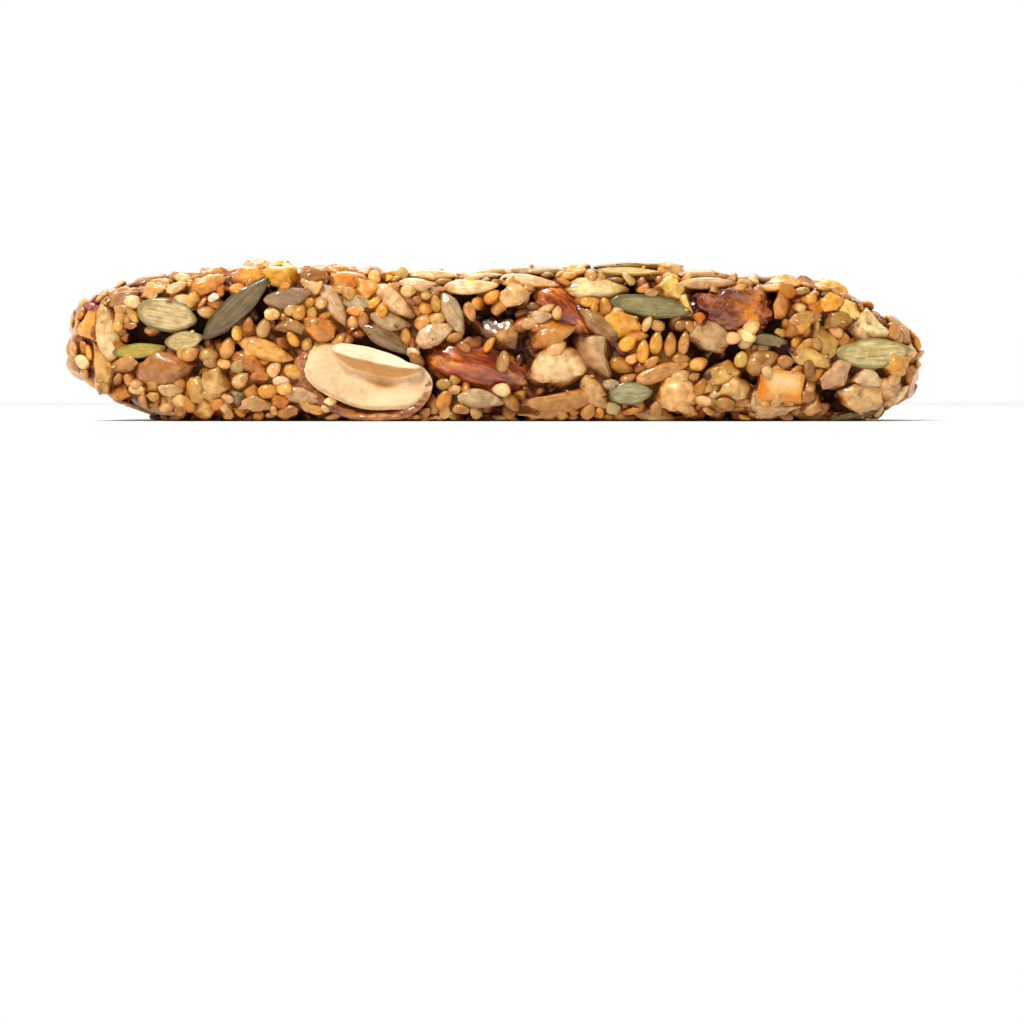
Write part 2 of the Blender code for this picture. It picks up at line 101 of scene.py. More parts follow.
# The pieces that show in the front face: kind, place along the bar, height, length and width in
# millimetres, turn in degrees, anticlockwise as seen from the front, and colour.
FRONT_PIECES = (
    ("sunflower", -57.5, 13.7, 9.7, 4.1, 100, "pale_cream"),
    ("chunk", -60.6, 14.6, 5.0, 3.8, 95, "golden"),
    ("chunk", -58.4, 7.8, 6.5, 3.2, 100, "tan"),
    ("granule", -58.8, 5.1, 2.6, 1.8, 90, "golden"),
    ("sunflower", -55.0, 18.4, 5.3, 2.8, 12, "tan"),
    ("sesame", -54.7, 16.6, 3.2, 1.8, 0, "tan"),
    ("pumpkin", -47.9, 15.6, 9.1, 4.9, -10, "pale_green"),
    ("granule", -53.5, 14.0, 2.2, 1.2, 0, "amber"),
    ("pumpkin", -52.3, 10.4, 7.9, 2.2, 5, "yellow_green"),
    ("pumpkin", -45.6, 11.8, 5.9, 2.9, 10, "pale_green"),
    ("chunk", -54.7, 8.4, 4.4, 2.6, 10, "tan"),
    ("chunk", -47.8, 7.6, 8.2, 4.9, 0, "caramel"),
    ("sesame", -52.8, 4.6, 2.9, 1.6, 0, "cream"),
    ("sesame", -47.6, 4.6, 4.0, 2.2, -5, "pink_cream"),
    ("chunk", -50.0, 19.4, 3.7, 2.5, 0, "tan"),
    ("sesame", -46.7, 19.7, 3.5, 1.9, 20, "pink_cream"),
    ("chunk", -42.5, 20.1, 5.3, 2.6, 20, "golden"),
    ("pumpkin", -37.8, 16.6, 12.9, 3.7, 42, "dark_olive"),
    ("granule", -37.8, 19.1, 2.9, 2.8, 0, "orange"),
    ("granule", -41.2, 18.1, 1.9, 1.5, 0, "white"),
    ("chunk", -36.3, 21.9, 4.9, 2.9, 5, "golden"),
    ("chunk", -31.8, 21.6, 5.4, 3.4, 0, "yellow"),
    ("chunk", -27.0, 21.6, 4.7, 3.2, 0, "orange"),
    ("chunk", -22.2, 21.2, 5.9, 3.7, 0, "orange"),
    ("sunflower", -30.0, 18.2, 7.6, 3.1, 12, "grey_brown"),
    ("sesame", -36.0, 14.1, 2.5, 1.8, 80, "amber"),
    ("sesame", -33.8, 13.7, 3.2, 2.5, 75, "cream"),
    ("sesame", -32.5, 15.7, 2.5, 2.1, 0, "cream"),
    ("sesame", -28.5, 15.9, 2.6, 2.2, 60, "golden"),
    ("chunk", -30.0, 14.0, 4.6, 2.5, 0, "tan"),
    ("chunk", -26.2, 13.4, 5.1, 3.2, -5, "orange"),
    ("sesame", -39.2, 10.7, 3.5, 2.6, 75, "golden_cream"),
    ("sesame", -42.0, 9.7, 3.2, 2.5, 0, "cream"),
    ("sunflower", -33.5, 10.4, 8.5, 3.4, -20, "golden_cream"),
    ("sunflower", -36.0, 8.5, 5.9, 3.1, -30, "amber"),
    ("chunk", -40.7, 6.0, 5.3, 4.9, 0, "cream"),
    ("granule", -42.3, 3.4, 2.8, 2.6, 0, "cream"),
    ("chunk", -44.2, 4.4, 3.7, 3.5, 0, "golden_cream"),
    ("sesame", -37.3, 6.0, 3.1, 2.4, 40, "cream"),
    ("granule", -34.4, 6.5, 2.8, 1.8, 0, "amber"),
    ("granule", -35.7, 4.3, 2.6, 2.5, 0, "golden"),
    ("sesame", -33.2, 4.4, 3.4, 2.6, 10, "golden"),
    ("sesame", -31.2, 5.9, 2.8, 1.8, 0, "pale_cream"),
    ("sesame", -29.4, 7.2, 3.4, 2.5, -25, "golden_cream"),
    ("sunflower", -28.2, 3.7, 5.7, 2.8, -12, "grey_cream"),
    ("chunk", -35.1, 2.5, 4.6, 2.1, 0, "cream"),
    ("granule", -31.5, 2.8, 2.9, 2.2, 0, "amber"),
    ("granule", -37.9, 3.7, 3.1, 2.4, 90, "dark_olive"),
    ("sunflower", -23.4, 16.9, 7.1, 2.9, -60, "grey_cream"),
    ("granule", -20.3, 16.2, 2.9, 1.9, 0, "orange"),
    ("sesame", -22.3, 19.7, 2.4, 2.1, 0, "cream"),
    ("sunflower", -14.6, 17.5, 7.6, 3.5, -40, "grey_cream"),
    ("sunflower", -15.3, 14.6, 6.2, 2.9, -15, "grey_cream"),
    ("sunflower", -15.3, 11.9, 8.8, 3.2, -28, "grey_brown"),
    ("sunflower", -8.8, 12.8, 6.0, 3.7, 25, "grey_cream"),
    ("sesame", -10.4, 14.6, 3.1, 2.6, 40, "golden_cream"),
    ("sesame", -12.6, 19.1, 2.4, 2.1, 0, "cream"),
    ("sunflower", -19.8, 17.6, 4.7, 2.4, -5, "grey_cream"),
    ("sesame", -17.5, 17.5, 2.6, 1.5, 40, "golden"),
    ("chunk", -18.5, 20.1, 4.0, 3.4, 0, "orange"),
    ("granule", -15.7, 21.3, 2.2, 1.6, 0, "yellow"),
    ("sunflower", -10.3, 20.4, 7.6, 2.6, -10, "pale_cream"),
    ("sunflower", -3.4, 20.0, 8.4, 2.8, -2, "pale_cream"),
    ("sunflower", -1.3, 21.8, 5.9, 1.6, 0, "pale_cream"),
    ("sunflower", -6.0, 15.7, 6.6, 3.2, -65, "grey_cream"),
    ("sesame", -3.5, 16.0, 3.2, 1.9, -70, "tan"),
    ("chunk", 0.3, 12.9, 6.6, 5.2, -30, "cream"),
    ("granule", 0.6, 16.6, 2.6, 2.4, 0, "tan"),
    ("granule", -11.9, 10.1, 2.1, 1.6, 0, "pale_cream"),
    ("sesame", -7.3, 3.1, 3.7, 2.5, 60, "golden"),
    ("sunflower", -1.9, 3.2, 7.3, 3.1, -6, "grey_cream"),
    ("granule", -4.9, 1.6, 2.6, 1.9, 0, "tan"),
    ("sunflower", 5.3, 21.2, 9.1, 2.6, -8, "pale_cream"),
    ("sesame", 11.0, 21.8, 2.9, 2.4, 0, "yellow"),
    ("pumpkin", 19.7, 22.0, 9.7, 1.9, -3, "golden_olive"),
    ("sunflower", 15.4, 19.8, 9.8, 3.7, -2, "pale_cream"),
    ("granule", 2.5, 20.4, 2.4, 1.5, 0, "orange"),
    ("chunk", 3.5, 18.4, 4.3, 3.4, 0, "cream"),
    ("sunflower", 6.9, 15.3, 3.4, 2.1, 0, "grey_cream"),
    ("sesame", 9.3, 15.9, 2.2, 1.8, 80, "cream"),
    ("chunk", 8.5, 13.1, 7.3, 4.1, 15, "golden"),
    ("sesame", 9.1, 10.4, 4.0, 2.8, 42, "cream"),
    ("chunk", 8.7, 7.2, 9.6, 8.2, -20, "pale_cream"),
    ("chunk", 14.7, 10.1, 8.5, 6.0, -40, "beige_grey"),
    ("chunk", 15.3, 14.1, 7.3, 2.6, -38, "walnut"),
    ("chunk", 18.5, 14.4, 5.3, 4.0, 0, "yellow"),
    ("sesame", 20.9, 12.6, 3.8, 2.1, 0, "golden"),
    ("sesame", 21.9, 10.3, 3.7, 2.1, 85, "golden"),
    ("sesame", 23.8, 11.5, 3.7, 2.2, 80, "golden"),
    ("sesame", 25.9, 11.3, 3.8, 2.1, 85, "golden"),
    ("sesame", 27.9, 11.5, 3.7, 1.9, 80, "golden_cream"),
    ("sesame", 18.7, 8.2, 4.0, 2.8, -22, "golden"),
    ("pumpkin", 20.1, 4.1, 6.6, 3.5, 5, "grey_green"),
    ("sesame", 17.3, 5.4, 2.8, 1.9, 0, "grey_cream"),
    ("sunflower", 14.7, 4.0, 6.0, 3.7, -55, "cream"),
    ("chunk", 9.1, 2.5, 12.3, 3.5, 8, "tan"),
    ("sesame", 2.6, 2.5, 3.7, 2.4, -50, "tan"),
    ("granule", 17.5, 1.6, 2.6, 2.1, 0, "grey_cream"),
    ("sesame", 14.1, 17.5, 3.1, 1.8, 0, "golden"),
    ("pumpkin", 23.2, 16.8, 12.1, 3.2, -8, "dark_green"),
    ("granule", 22.2, 19.7, 2.8, 1.8, 20, "caramel"),
    ("granule", 23.1, 18.7, 2.2, 1.6, 0, "tan"),
    ("chunk", 25.4, 19.8, 4.9, 3.7, 0, "yellow_cream"),
    ("sunflower", 31.9, 20.6, 9.3, 2.4, 8, "pink_cream"),
    ("sesame", 36.2, 19.8, 2.2, 1.6, 30, "golden"),
    ("granule", 30.0, 15.1, 2.1, 1.9, 0, "amber"),
    ("chunk", 31.5, 11.8, 5.4, 4.9, 40, "pink_cream"),
    ("sesame", 35.1, 12.2, 2.6, 2.2, 0, "cream"),
    ("sesame", 37.0, 11.5, 2.6, 2.2, 20, "cream"),
    ("pumpkin", 40.4, 11.9, 5.6, 1.8, -8, "dark_olive"),
    ("sunflower", 39.4, 8.8, 5.4, 3.8, 28, "tan"),
    ("sesame", 36.3, 9.1, 2.5, 2.4, 80, "yellow_cream"),
    ("sunflower", 24.7, 7.3, 8.5, 2.9, 20, "golden_cream"),
    ("sesame", 27.5, 9.1, 2.9, 2.1, 0, "tan"),
    ("sesame", 30.1, 8.4, 3.1, 2.4, 20, "golden_cream"),
    ("chunk", 34.0, 7.2, 5.1, 2.9, 15, "yellow_cream"),
    ("chunk", 26.3, 3.7, 6.4, 4.8, 0, "cream"),
    ("sesame", 30.4, 5.0, 3.1, 2.4, 60, "golden"),
    ("chunk", 35.7, 4.9, 5.1, 3.7, 0, "cream"),
    ("sesame", 34.0, 2.6, 3.2, 2.1, 0, "tan"),
    ("sesame", 36.6, 2.6, 3.1, 1.9, 0, "tan"),
    ("cube", 42.3, 5.0, 7.3, 5.1, -3, "orange_cube"),
    ("chunk", 40.9, 1.6, 7.1, 2.4, 0, "pink_cream"),
    ("granule", 32.2, 3.7, 1.9, 1.6, 0, "pale_cream"),
    ("sesame", 42.9, 8.8, 2.6, 2.2, 0, "tan"),
    ("chunk", 48.5, 11.8, 5.4, 3.7, -70, "yellow_cream"),
    ("sunflower", 45.9, 15.1, 5.1, 2.4, 12, "golden_cream"),
    ("granule", 43.1, 19.3, 2.8, 2.5, 0, "amber"),
    ("chunk", 50.1, 17.5, 3.4, 2.8, 0, "yellow"),
    ("chunk", 52.6, 16.6, 4.3, 2.9, -20, "yellow_cream"),
    ("granule", 49.1, 18.8, 1.9, 1.3, 0, "dark_olive"),
    ("granule", 47.5, 16.9, 2.6, 2.1, 0, "amber"),
    ("chunk", 50.6, 14.6, 3.7, 2.8, 0, "tan"),
    ("chunk", 55.4, 14.0, 7.1, 5.4, 0, "pale_cream"),
    ("granule", 59.4, 13.5, 2.9, 1.9, 80, "tan"),
    ("pumpkin", 56.2, 10.1, 11.8, 4.3, 3, "pale_green"),
    ("chunk", 60.0, 8.0, 4.4, 3.4, 0, "golden"),
    ("chunk", 50.3, 6.5, 5.6, 4.6, 60, "beige_grey"),
    ("chunk", 46.2, 9.6, 5.9, 2.8, -28, "yellow_cream"),
    ("chunk", 54.7, 5.9, 6.2, 4.4, 0, "pale_cream"),
    ("chunk", 53.8, 2.7, 7.0, 4.4, 10, "beige"),
    ("sunflower", 59.4, 4.6, 5.0, 4.0, 0, "beige"),
    ("sunflower", 60.3, 3.2, 5.0, 2.9, 20, "beige"),
    ("pumpkin", 53.5, 0.9, 7.1, 1.9, 8, "dark_olive"),
)

# The pieces along the front of the top, which make its outline: kind, place along the bar, place
# across it, length and width in millimetres, turn in degrees, and colour.
TOP_EDGE_PIECES = (
    ("sunflower", -55.2, -12.6, 6.0, 3.2, 8, "tan"),
    ("sunflower", -47.9, -12.8, 6.6, 3.4, -6, "pink_cream"),
    ("chunk", -42.6, -12.9, 6.4, 4.2, 10, "golden"),
    ("chunk", -36.9, -12.6, 6.2, 4.6, -12, "golden_cream"),
    ("chunk", -31.4, -12.9, 5.8, 4.8, 5, "yellow_cream"),
    ("chunk", -26.7, -12.6, 4.8, 4.0, 30, "golden"),
    ("chunk", -22.3, -13.0, 5.0, 3.8, -10, "amber"),
    ("chunk", -18.4, -12.6, 4.4, 3.6, 20, "caramel"),
    ("sunflower", -15.0, -12.9, 5.0, 3.2, 25, "golden"),
    ("sunflower", -9.6, -12.9, 9.0, 3.7, -5, "pale_cream"),
    ("sunflower", -0.8, -12.7, 9.2, 3.7, 4, "cream"),
    ("sunflower", 7.0, -13.0, 9.0, 3.5, -4, "pale_cream"),
    ("chunk", 12.6, -12.6, 4.4, 3.4, 15, "cream"),
    ("pumpkin", 20.3, -12.6, 10.2, 4.6, -3, "golden_olive"),
    ("chunk", 26.6, -12.8, 5.2, 4.2, 12, "yellow_cream"),
    ("sunflower", 32.6, -12.9, 9.2, 3.4, 6, "pink_cream"),
    ("chunk", 44.4, -12.8, 5.4, 3.8, -8, "cream"),
    ("chunk", 48.6, -12.5, 4.6, 3.6, 24, "caramel"),
    ("chunk", 52.8, -12.6, 5.8, 4.4, -14, "yellow_cream"),
    ("chunk", 58.0, -11.8, 6.0, 4.6, 10, "pink_cream"),
)

# Larger pieces spread over the other sides: kind, how many, shortest and longest in millimetres,
# width as a share of the length, and the colours drawn from.
SPREAD_ROWS = (
    ("pumpkin", 44, 10.0, 12.6, 0.50, ("dark_olive", "grey_green", "pale_green", "dark_green")),
    ("sunflower", 118, 7.4, 9.6, 0.44, ("pale_cream", "grey_cream", "cream", "pink_cream")),
    ("nut", 180, 4.0, 8.0, 0.74, ("golden", "cream", "tan", "caramel", "beige", "yellow_cream")),
    ("cube", 7, 5.0, 6.6, 0.80, ("orange_cube",)),
)
FILL_COLOURS = ("cream", "golden_cream", "golden", "tan", "golden_cream", "beige", "cream")
GRANULE_COLOURS = ("golden", "amber", "caramel", "cream", "golden_cream", "yellow_cream", "tan")
CRUMB_COLOURS = ("pale_cream", "cream", "golden_cream", "yellow_cream")

# Dark gaps that show in the front face, free of seeds: place along the bar, height and reach in
# millimetres.
VOIDS = (
    (-52.4, 13.1, 2.2),
    (-49.6, 12.4, 1.2),
    (2.4, 14.9, 1.6),
    (25.4, 14.3, 1.3),
    (47.2, 13.2, 0.9),
)

# How many small pieces are asked for: between the larger ones, under those, and as crumbs on top.
FILL_SESAME = 1700
FILL_GRANULES = 460
UNDER_SESAME = 760
CRUMBS = 260

# Least and most lengths of the small pieces in mm, and their widths as shares of their lengths.
FILL_LENGTHS = {"sesame": (2.7, 3.5), "granule": (1.8, 3.6)}
FILL_WIDTHS = (0.64, 0.80)
CRUMB_LENGTHS = (0.4, 0.95)

# Least and most that a spread piece's width is of the one in its row.
WIDTH_RANGE = (0.88, 1.12)

# How far pieces lean and roll, in radians.
SEEN_LEAN = 0.06
SPREAD_LEAN = 0.12
FILL_ROLL = 0.45
FILL_LEAN = 0.40
CRUMB_ROLL = 1.5

# How far pieces stand out of the outline, in mm.
FRONT_PROUD = (0.0, 0.6)
EDGE_PROUD = (0.5, 0.9)
SPREAD_PROUD = (-0.1, 0.5)
FILL_PROUD = (-0.95, 0.6)
UNDER_PROUD = (-2.1, -1.1)

# Chopped nuts in the tables are made this much larger, and stand further out of the front, in mm.
CHUNK_GROWTH = 1.2
CHUNK_RISE = 0.35

# How the sides share the spread pieces: the ends, the front and back, and the top and base.
SIDE_SHARES = (0.09, 0.34, 0.57)

# Room round a piece as a share of its length and width, and how far its ends may leave the form.
ROOM_SHARE = 0.20
LARGE_ROOM_SHARE = 0.24
MOST_STRAY = 0.7 * MM
PLACES_TRIED = 140

# How far the larger pieces keep the small ones off, as shares of their width.
OBSTACLE_SHARES = {"pumpkin": 0.56, "large": 0.40}
OBSTACLE_SHARE = 0.44

# Half the distance between small pieces, and how far they stay from the larger ones and, where
# they lie deeper, from the gaps.
FILL_REACH = 1.06 * MM
FILL_CLEARANCE = 0.72 * MM
VOID_CLEARANCE = 0.8 * MM

# Rounds of pushing the small pieces apart, the shares of their overlap with each other and with the
# larger ones that a round takes away, the longest move in a round, and the share of their distance
# from the larger ones under which they are left out.
RELAX_ROUNDS = 24
SMALL_PUSH = 0.35
LARGE_PUSH = 0.55
LONGEST_MOVE = 0.8 * MM
DROP_SHARE = 0.66

# Crumbs stick to the vertices, one in so many, that lie no deeper than this.
CRUMB_STEP = 7
CRUMB_DEPTH = 0.5 * MM

# The almonds and dates, as the solids have them: side, place along it and across it, length, width
# and thickness in millimetres, turn in degrees, and how far each stands out of the outline.
ALMONDS = {
    "almond_whole": ("front", -1.9, 7.9, 17.6, 9.0, 7.6, -14, 0.2),
    "almond_upper": ("front", 10.4, 16.4, 11.5, 7.0, 6.0, -40, -0.3),
    "almond_top": ("top", -24.0, 3.0, 20.0, 12.0, 7.6, 25, 0.6),
    "almond_back": ("back", 26.0, 11.0, 19.5, 11.4, 7.6, 12, 0.4),
}
CUT_ALMOND = ("front", -18.5, 6.3, 19.4, 11.6, 8.0, -10, 0.1)
DATES = {
    "date_front": ("front", 35.4, 16.6, 14.6, 8.4, 7.0, -5, 0.4),
    "date_top": ("top", 20.0, 4.0, 15.0, 9.0, 6.4, -35, 0.5),
    "date_back": ("back", -30.0, 12.0, 14.0, 8.6, 6.6, -20, 0.4),
}

# The cut almond's face lies this far out of its middle, as a share of its thickness, and is hollow
# within this share of its length and width.
HALF_ALMOND_LEVEL = 0.12
CUT_ALMOND_HOLLOW = 0.47

# The syrup: how far its block lies under the outline, the size of its voxels, how often it is
# smoothed, how far it is drawn back in, and the least that any of it lies under the outline.
SYRUP_INSET = 2.8 * MM
SYRUP_VOXEL = 0.6 * MM
SYRUP_SMOOTHINGS = 3
SYRUP_SHRINK = 0.60 * MM
SYRUP_LEAST_INSET = 0.62 * MM

# Depth at which the syrup tint and painted shade of the pieces reach their full share, and what a piece's
# own inner flanks add to that as more painted shade.
FULL_SHADE_DEPTH = 2.45 * MM
FLANK_SHADE = 0.58

# Edges sharper than this stay sharp, and pieces are pressed flat between these heights.
SHARP_EDGE = math.radians(26.0)
LOWEST_BASE = 0.03 * MM
HIGHEST_BASE = 0.32 * MM

draw = np.random.RandomState(SEED)


# The form

def smooth_step(value):
    value = np.clip(value, 0.0, 1.0)
    return value * value * (3.0 - 2.0 * value)


def top_height(x):
    """Height of the bar's top at places along it, eased between the stations."""
    x = np.clip(x, TOP_STATIONS[0], TOP_STATIONS[-1])
    index = np.clip(np.searchsorted(TOP_STATIONS, x) - 1, 0, len(TOP_STATIONS) - 2)
    start = TOP_STATIONS[index]
    share = smooth_step((x - start) / (TOP_STATIONS[index + 1] - start))
    return TOP_HEIGHTS[index] * (1.0 - share) + TOP_HEIGHTS[index + 1] * share


def base_height(x):
    left = smooth_step((LEFT_TOE_START - x) / (HALF_LENGTH + LEFT_TOE_START))
    right = smooth_step((x - RIGHT_TOE_START) / (HALF_LENGTH - RIGHT_TOE_START))
    return LEFT_TOE_LIFT * left + RIGHT_TOE_LIFT * right


def middle_and_half(x):
    low = base_height(x) - BASE_TRIM
    high = top_height(x)
    return 0.5 * (low + high), 0.5 * (high - low)


def form_points(facing, inset=0.0):
    """Points of the bar's outline, or of one inset in it, that face these directions."""
    facing = np.atleast_2d(facing)
    scale = (np.abs(facing) ** SQUARENESS).sum(1) ** (-1.0 / SQUARENESS)
    unit = facing * scale[:, None]
    x = (HALF_LENGTH - inset) * unit[:, 0]
    middle, half = middle_and_half(x)
    return np.stack((x, (HALF_DEPTH - inset) * unit[:, 1], middle + (half - inset) * unit[:, 2]), 1)


def facing_of(points):
    """Direction that each point faces: its place as a share of the bar's half sizes."""
    middle, half = middle_and_half(points[:, 0])
    z = (points[:, 2] - middle) / half
    return np.stack((points[:, 0] / HALF_LENGTH, points[:, 1] / HALF_DEPTH, z), 1)


def level_of(points):
    """0 in the middle of the bar and 1 on its outline."""
    return (np.abs(facing_of(points)) ** SQUARENESS).sum(1) ** (1.0 / SQUARENESS)


def slope_of(points):
    step = 0.05 * MM
    rises = [level_of(points + step * axis) - level_of(points - step * axis) for axis in np.eye(3)]
    return np.stack(rises, 1) / (2.0 * step)


def form_normals(points):
    """Outward normals of the form at points on it."""
    slope = slope_of(points)
    return slope / np.linalg.norm(slope, axis=1, keepdims=True)


def inset_of(points):
    """How far points lie under the outline."""
    slope = np.linalg.norm(slope_of(points), axis=1)
    return (1.0 - level_of(points)) / np.maximum(slope, 1.0)


def facing(side, along, across):
    """Direction that faces a place on a side of the bar."""
    u = along / HALF_LENGTH
    if side == "top":
        return np.array((u, across / HALF_DEPTH, 1.0))
    middle, half = middle_and_half(np.array([along]))
    w = (across - middle[0]) / half[0]
    v = max(1.0 - abs(u) ** SQUARENESS - abs(w) ** SQUARENESS, 0.02) ** (1.0 / SQUARENESS)
    return np.array((u, -v if side == "front" else v, w))


def piece_frame(normal, turn, roll=0.0, lean=0.0):
    """Matrix whose columns are a piece's length, width and outer side."""
    guide = np.array((1.0, 0.0, 0.0) if abs(normal[0]) < 0.85 else (0.0, 1.0, 0.0))
    flat = guide - normal * guide.dot(normal)
    flat /= np.linalg.norm(flat)
    up = np.cross(normal, flat)
    length = flat * math.cos(turn) + up * math.sin(turn)
    frame_now = np.stack((length, np.cross(normal, length), normal), 1)
    tilt = Matrix.Rotation(lean, 3, "Y") @ Matrix.Rotation(roll, 3, "X")
    return frame_now @ np.array(tilt)


# Templates: each kind of piece as a few meshes of unit size

def ball(subdivisions):
    work = bmesh.new()
    bmesh.ops.create_icosphere(work, subdivisions=subdivisions, radius=0.5)
    return take_mesh(work)


def take_mesh(work):
    """Vertices and triangles of a mesh in work. The triangles are sorted, because triangulating can
    give them in another order each run."""
    bmesh.ops.triangulate(work, faces=work.faces)
    work.verts.ensure_lookup_table()
    verts = np.array([vertex.co for vertex in work.verts])
    faces = np.array([[vertex.index for vertex in face.verts] for face in work.faces])
    work.free()
    return verts, faces[np.lexsort(faces.T)]


def rough(verts, salt, *layers):
    """Pushes each vertex in or out by layers of smooth noise, each with its amount, its scale and
    what it adds to the salt."""
    for amount, scale, step in layers:
        shift = Vector((salt + step,) * 3)
        push = [noise.noise(Vector(vert) * scale + shift) for vert in verts]
        verts = verts * (1.0 + amount * np.array(push))[:, None]
    return verts


def narrowed(verts, width, height):
    """Scales each vertex across its piece, and leaves its place along the piece."""
    return verts * np.stack((np.ones(len(verts)), width, height), 1)


def sesame_template(salt):
    verts, faces = ball(2)
    narrow = 1.0 - 0.36 * (verts[:, 0] + 0.5) ** 1.7
    return rough(narrowed(verts, narrow, narrow), salt, (0.12, 2.5, 0)), faces


def sunflower_template(salt):
    """A kernel: one end blunt and one pointed, a little bent, with a groove along it."""
    verts, faces = ball(4)
    narrow = 1.0 - 0.50 * (verts[:, 0] + 0.5) ** 2.2
    verts = narrowed(verts, narrow, 0.4 + 0.6 * narrow)
    verts[:, 1] += 0.07 * math.sin(salt) * verts[:, 0] ** 2 * 4.0
    verts[:, 2] -= 0.05 * np.exp(-(verts[:, 1] / 0.07) ** 2) * np.sign(verts[:, 2])
    return rough(verts, salt, (0.12, 3.0, 0), (0.025, 9.0, 5)), faces


def pumpkin_template(salt):
    """A thin shell: a flat face inside a raised rim, pointed at one end, and gently cupped."""
    verts, faces = ball(4)
    narrow = 1.0 - 0.42 * np.maximum(verts[:, 0], 0.0) ** 2 * 4.0
    radius = np.hypot(verts[:, 0], verts[:, 1]) * 2.0
    dish = 1.0 - 0.34 * smooth_step((0.86 - radius) / 0.3)
    verts = narrowed(verts, narrow, dish)
    verts[:, 2] += 0.5 * (verts[:, 0] ** 2 - 0.12) * math.cos(2.0 * salt)
    verts[:, 2] += 0.35 * verts[:, 1] ** 2
    return rough(verts, salt, (0.12, 2.4, 0), (0.05, 8.0, 5)), faces


def broken_template(salt, subdivisions, cuts, bites):
    """A chopped nut: a ball cut by planes and bitten into, so that it has flats and hollows."""
    verts, faces = ball(subdivisions)
    dice = np.random.RandomState(salt)
    for _ in range(cuts):
        normal = dice.normal(size=3)
        normal /= np.linalg.norm(normal)
        over = np.maximum(verts @ normal - dice.uniform(0.22, 0.40), 0.0)
        verts = verts - 0.94 * over[:, None] * normal
    for _ in range(bites):
        centre = dice.normal(size=3)
        centre *= dice.uniform(0.5, 0.62) / np.linalg.norm(centre)
        reach = dice.uniform(0.20, 0.32)
        away = verts - centre
        far = np.linalg.norm(away, axis=1, keepdims=True) + 1e-9
        bitten = centre + away * reach / far
        inwards = (bitten ** 2).sum(1, keepdims=True) < (verts ** 2).sum(1, keepdims=True)
        verts = np.where((far < reach) & inwards, bitten, verts)
    verts = verts / np.abs(verts).max(0) * 0.5
    return rough(verts, salt, (0.18, 4.0, 0), (0.07, 11.0, 5)), faces


def cube_template(salt):
    work = bmesh.new()
    bmesh.ops.create_cube(work, size=0.92)
    bmesh.ops.bevel(work, geom=work.edges[:], offset=0.06, segments=2, affect="EDGES")
    bmesh.ops.subdivide_edges(work, edges=work.edges[:], cuts=3, use_grid_fill=True)
    verts, faces = take_mesh(work)
    return rough(verts, salt, (0.16, 2.2, 0), (0.05, 9.0, 5)), faces


TEMPLATES = {
    "sesame": [sesame_template(salt) for salt in range(6)],
    "granule": [broken_template(salt, 2, 5, 0) for salt in range(8)],
    "crumb": [broken_template(60 + salt, 2, 5, 0) for salt in range(4)],
    "sunflower": [sunflower_template(salt) for salt in range(6)],
    "pumpkin": [pumpkin_template(salt) for salt in range(6)],
    "chunk": [broken_template(20 + salt, 4, 8, 2) for salt in range(14)],
    "nut": [broken_template(40 + salt, 3, 8, 1) for salt in range(10)],
    "cube": [cube_template(salt) for salt in range(4)],
}

# Every piece of each kind: its place, axes, size, colour and a random share of its own.
pieces = {kind: [] for kind in TEMPLATES}


def linear(colour):
    """Screen colour to the linear values that a shader works in."""
    share = np.array(colour) / 255.0
    return np.where(share < 0.04045, share / 12.92, ((share + 0.055) / 1.055) ** 2.4)


def add_piece(kind, place, frame_now, size, colour):
    """Notes a piece, in a colour near its own."""
    tint = linear(COLOURS[colour]) * (1.0 + TINT_SPREAD * draw.normal())
    tint = tint * (1.0 + HUE_SPREAD * draw.normal(size=3))
    pieces[kind].append((place, frame_now, size, np.clip(tint, 0.01, 0.95), draw.uniform()))


def piece_size(kind, length, width):
    return np.array((length, width, max(width * THICKNESS[kind], LEAST_THICKNESS)))


def bed_piece(kind, face, length, width, turn, colour, proud, lean=SPREAD_LEAN):
    """Beds a piece in the outline, and returns its place and its axes."""
    size = piece_size(kind, length, width)
    point = form_points(face)
    normal = form_normals(point)[0]
    roll = draw.uniform(-2.0 * lean, 2.0 * lean)
    frame_now = piece_frame(normal, turn, roll, draw.uniform(-lean, lean))
    place = point[0] - normal * (0.5 * size[2] - proud)
    add_piece(kind, place, frame_now, size, colour)
    return point[0], frame_now


def obstacle_discs(kind, point, length_axis, length, width):
    """Discs along a piece's length that keep the small seeds out from over it."""
    count = max(1, int(round(1.6 * length / width)))
    steps = (np.arange(count) + 0.5) / count - 0.5
    reach = OBSTACLE_SHARES.get(kind, OBSTACLE_SHARE) * width + 0.06 * length / count
    taper = [0.55 + 0.45 * math.sqrt(1.0 - (2.0 * step) ** 2) for step in steps]
    return [(point + length_axis * length * step, reach * slim) for step, slim in zip(steps, taper)]


def seen_pieces(side, rows, proud_range, discs, taken):
    """The pieces whose places the photograph shows."""
    for kind, along, across, length, width, turn, colour in rows:
        face = facing(side, along * MM, across * MM)
        proud = draw.uniform(*proud_range)
        turn = math.radians(turn)
        if kind == "chunk":
            length, width = CHUNK_GROWTH * length, CHUNK_GROWTH * width
            proud += CHUNK_RISE if side == "front" else 0.0
        sizes = (length * MM, width * MM)
        point, axes = bed_piece(kind, face, *sizes, turn, colour, proud * MM, SEEN_LEAN)
        discs += obstacle_discs(kind, point, axes[:, 0], *sizes)
        taken.append((point, ROOM_SHARE * (length + width) * MM))


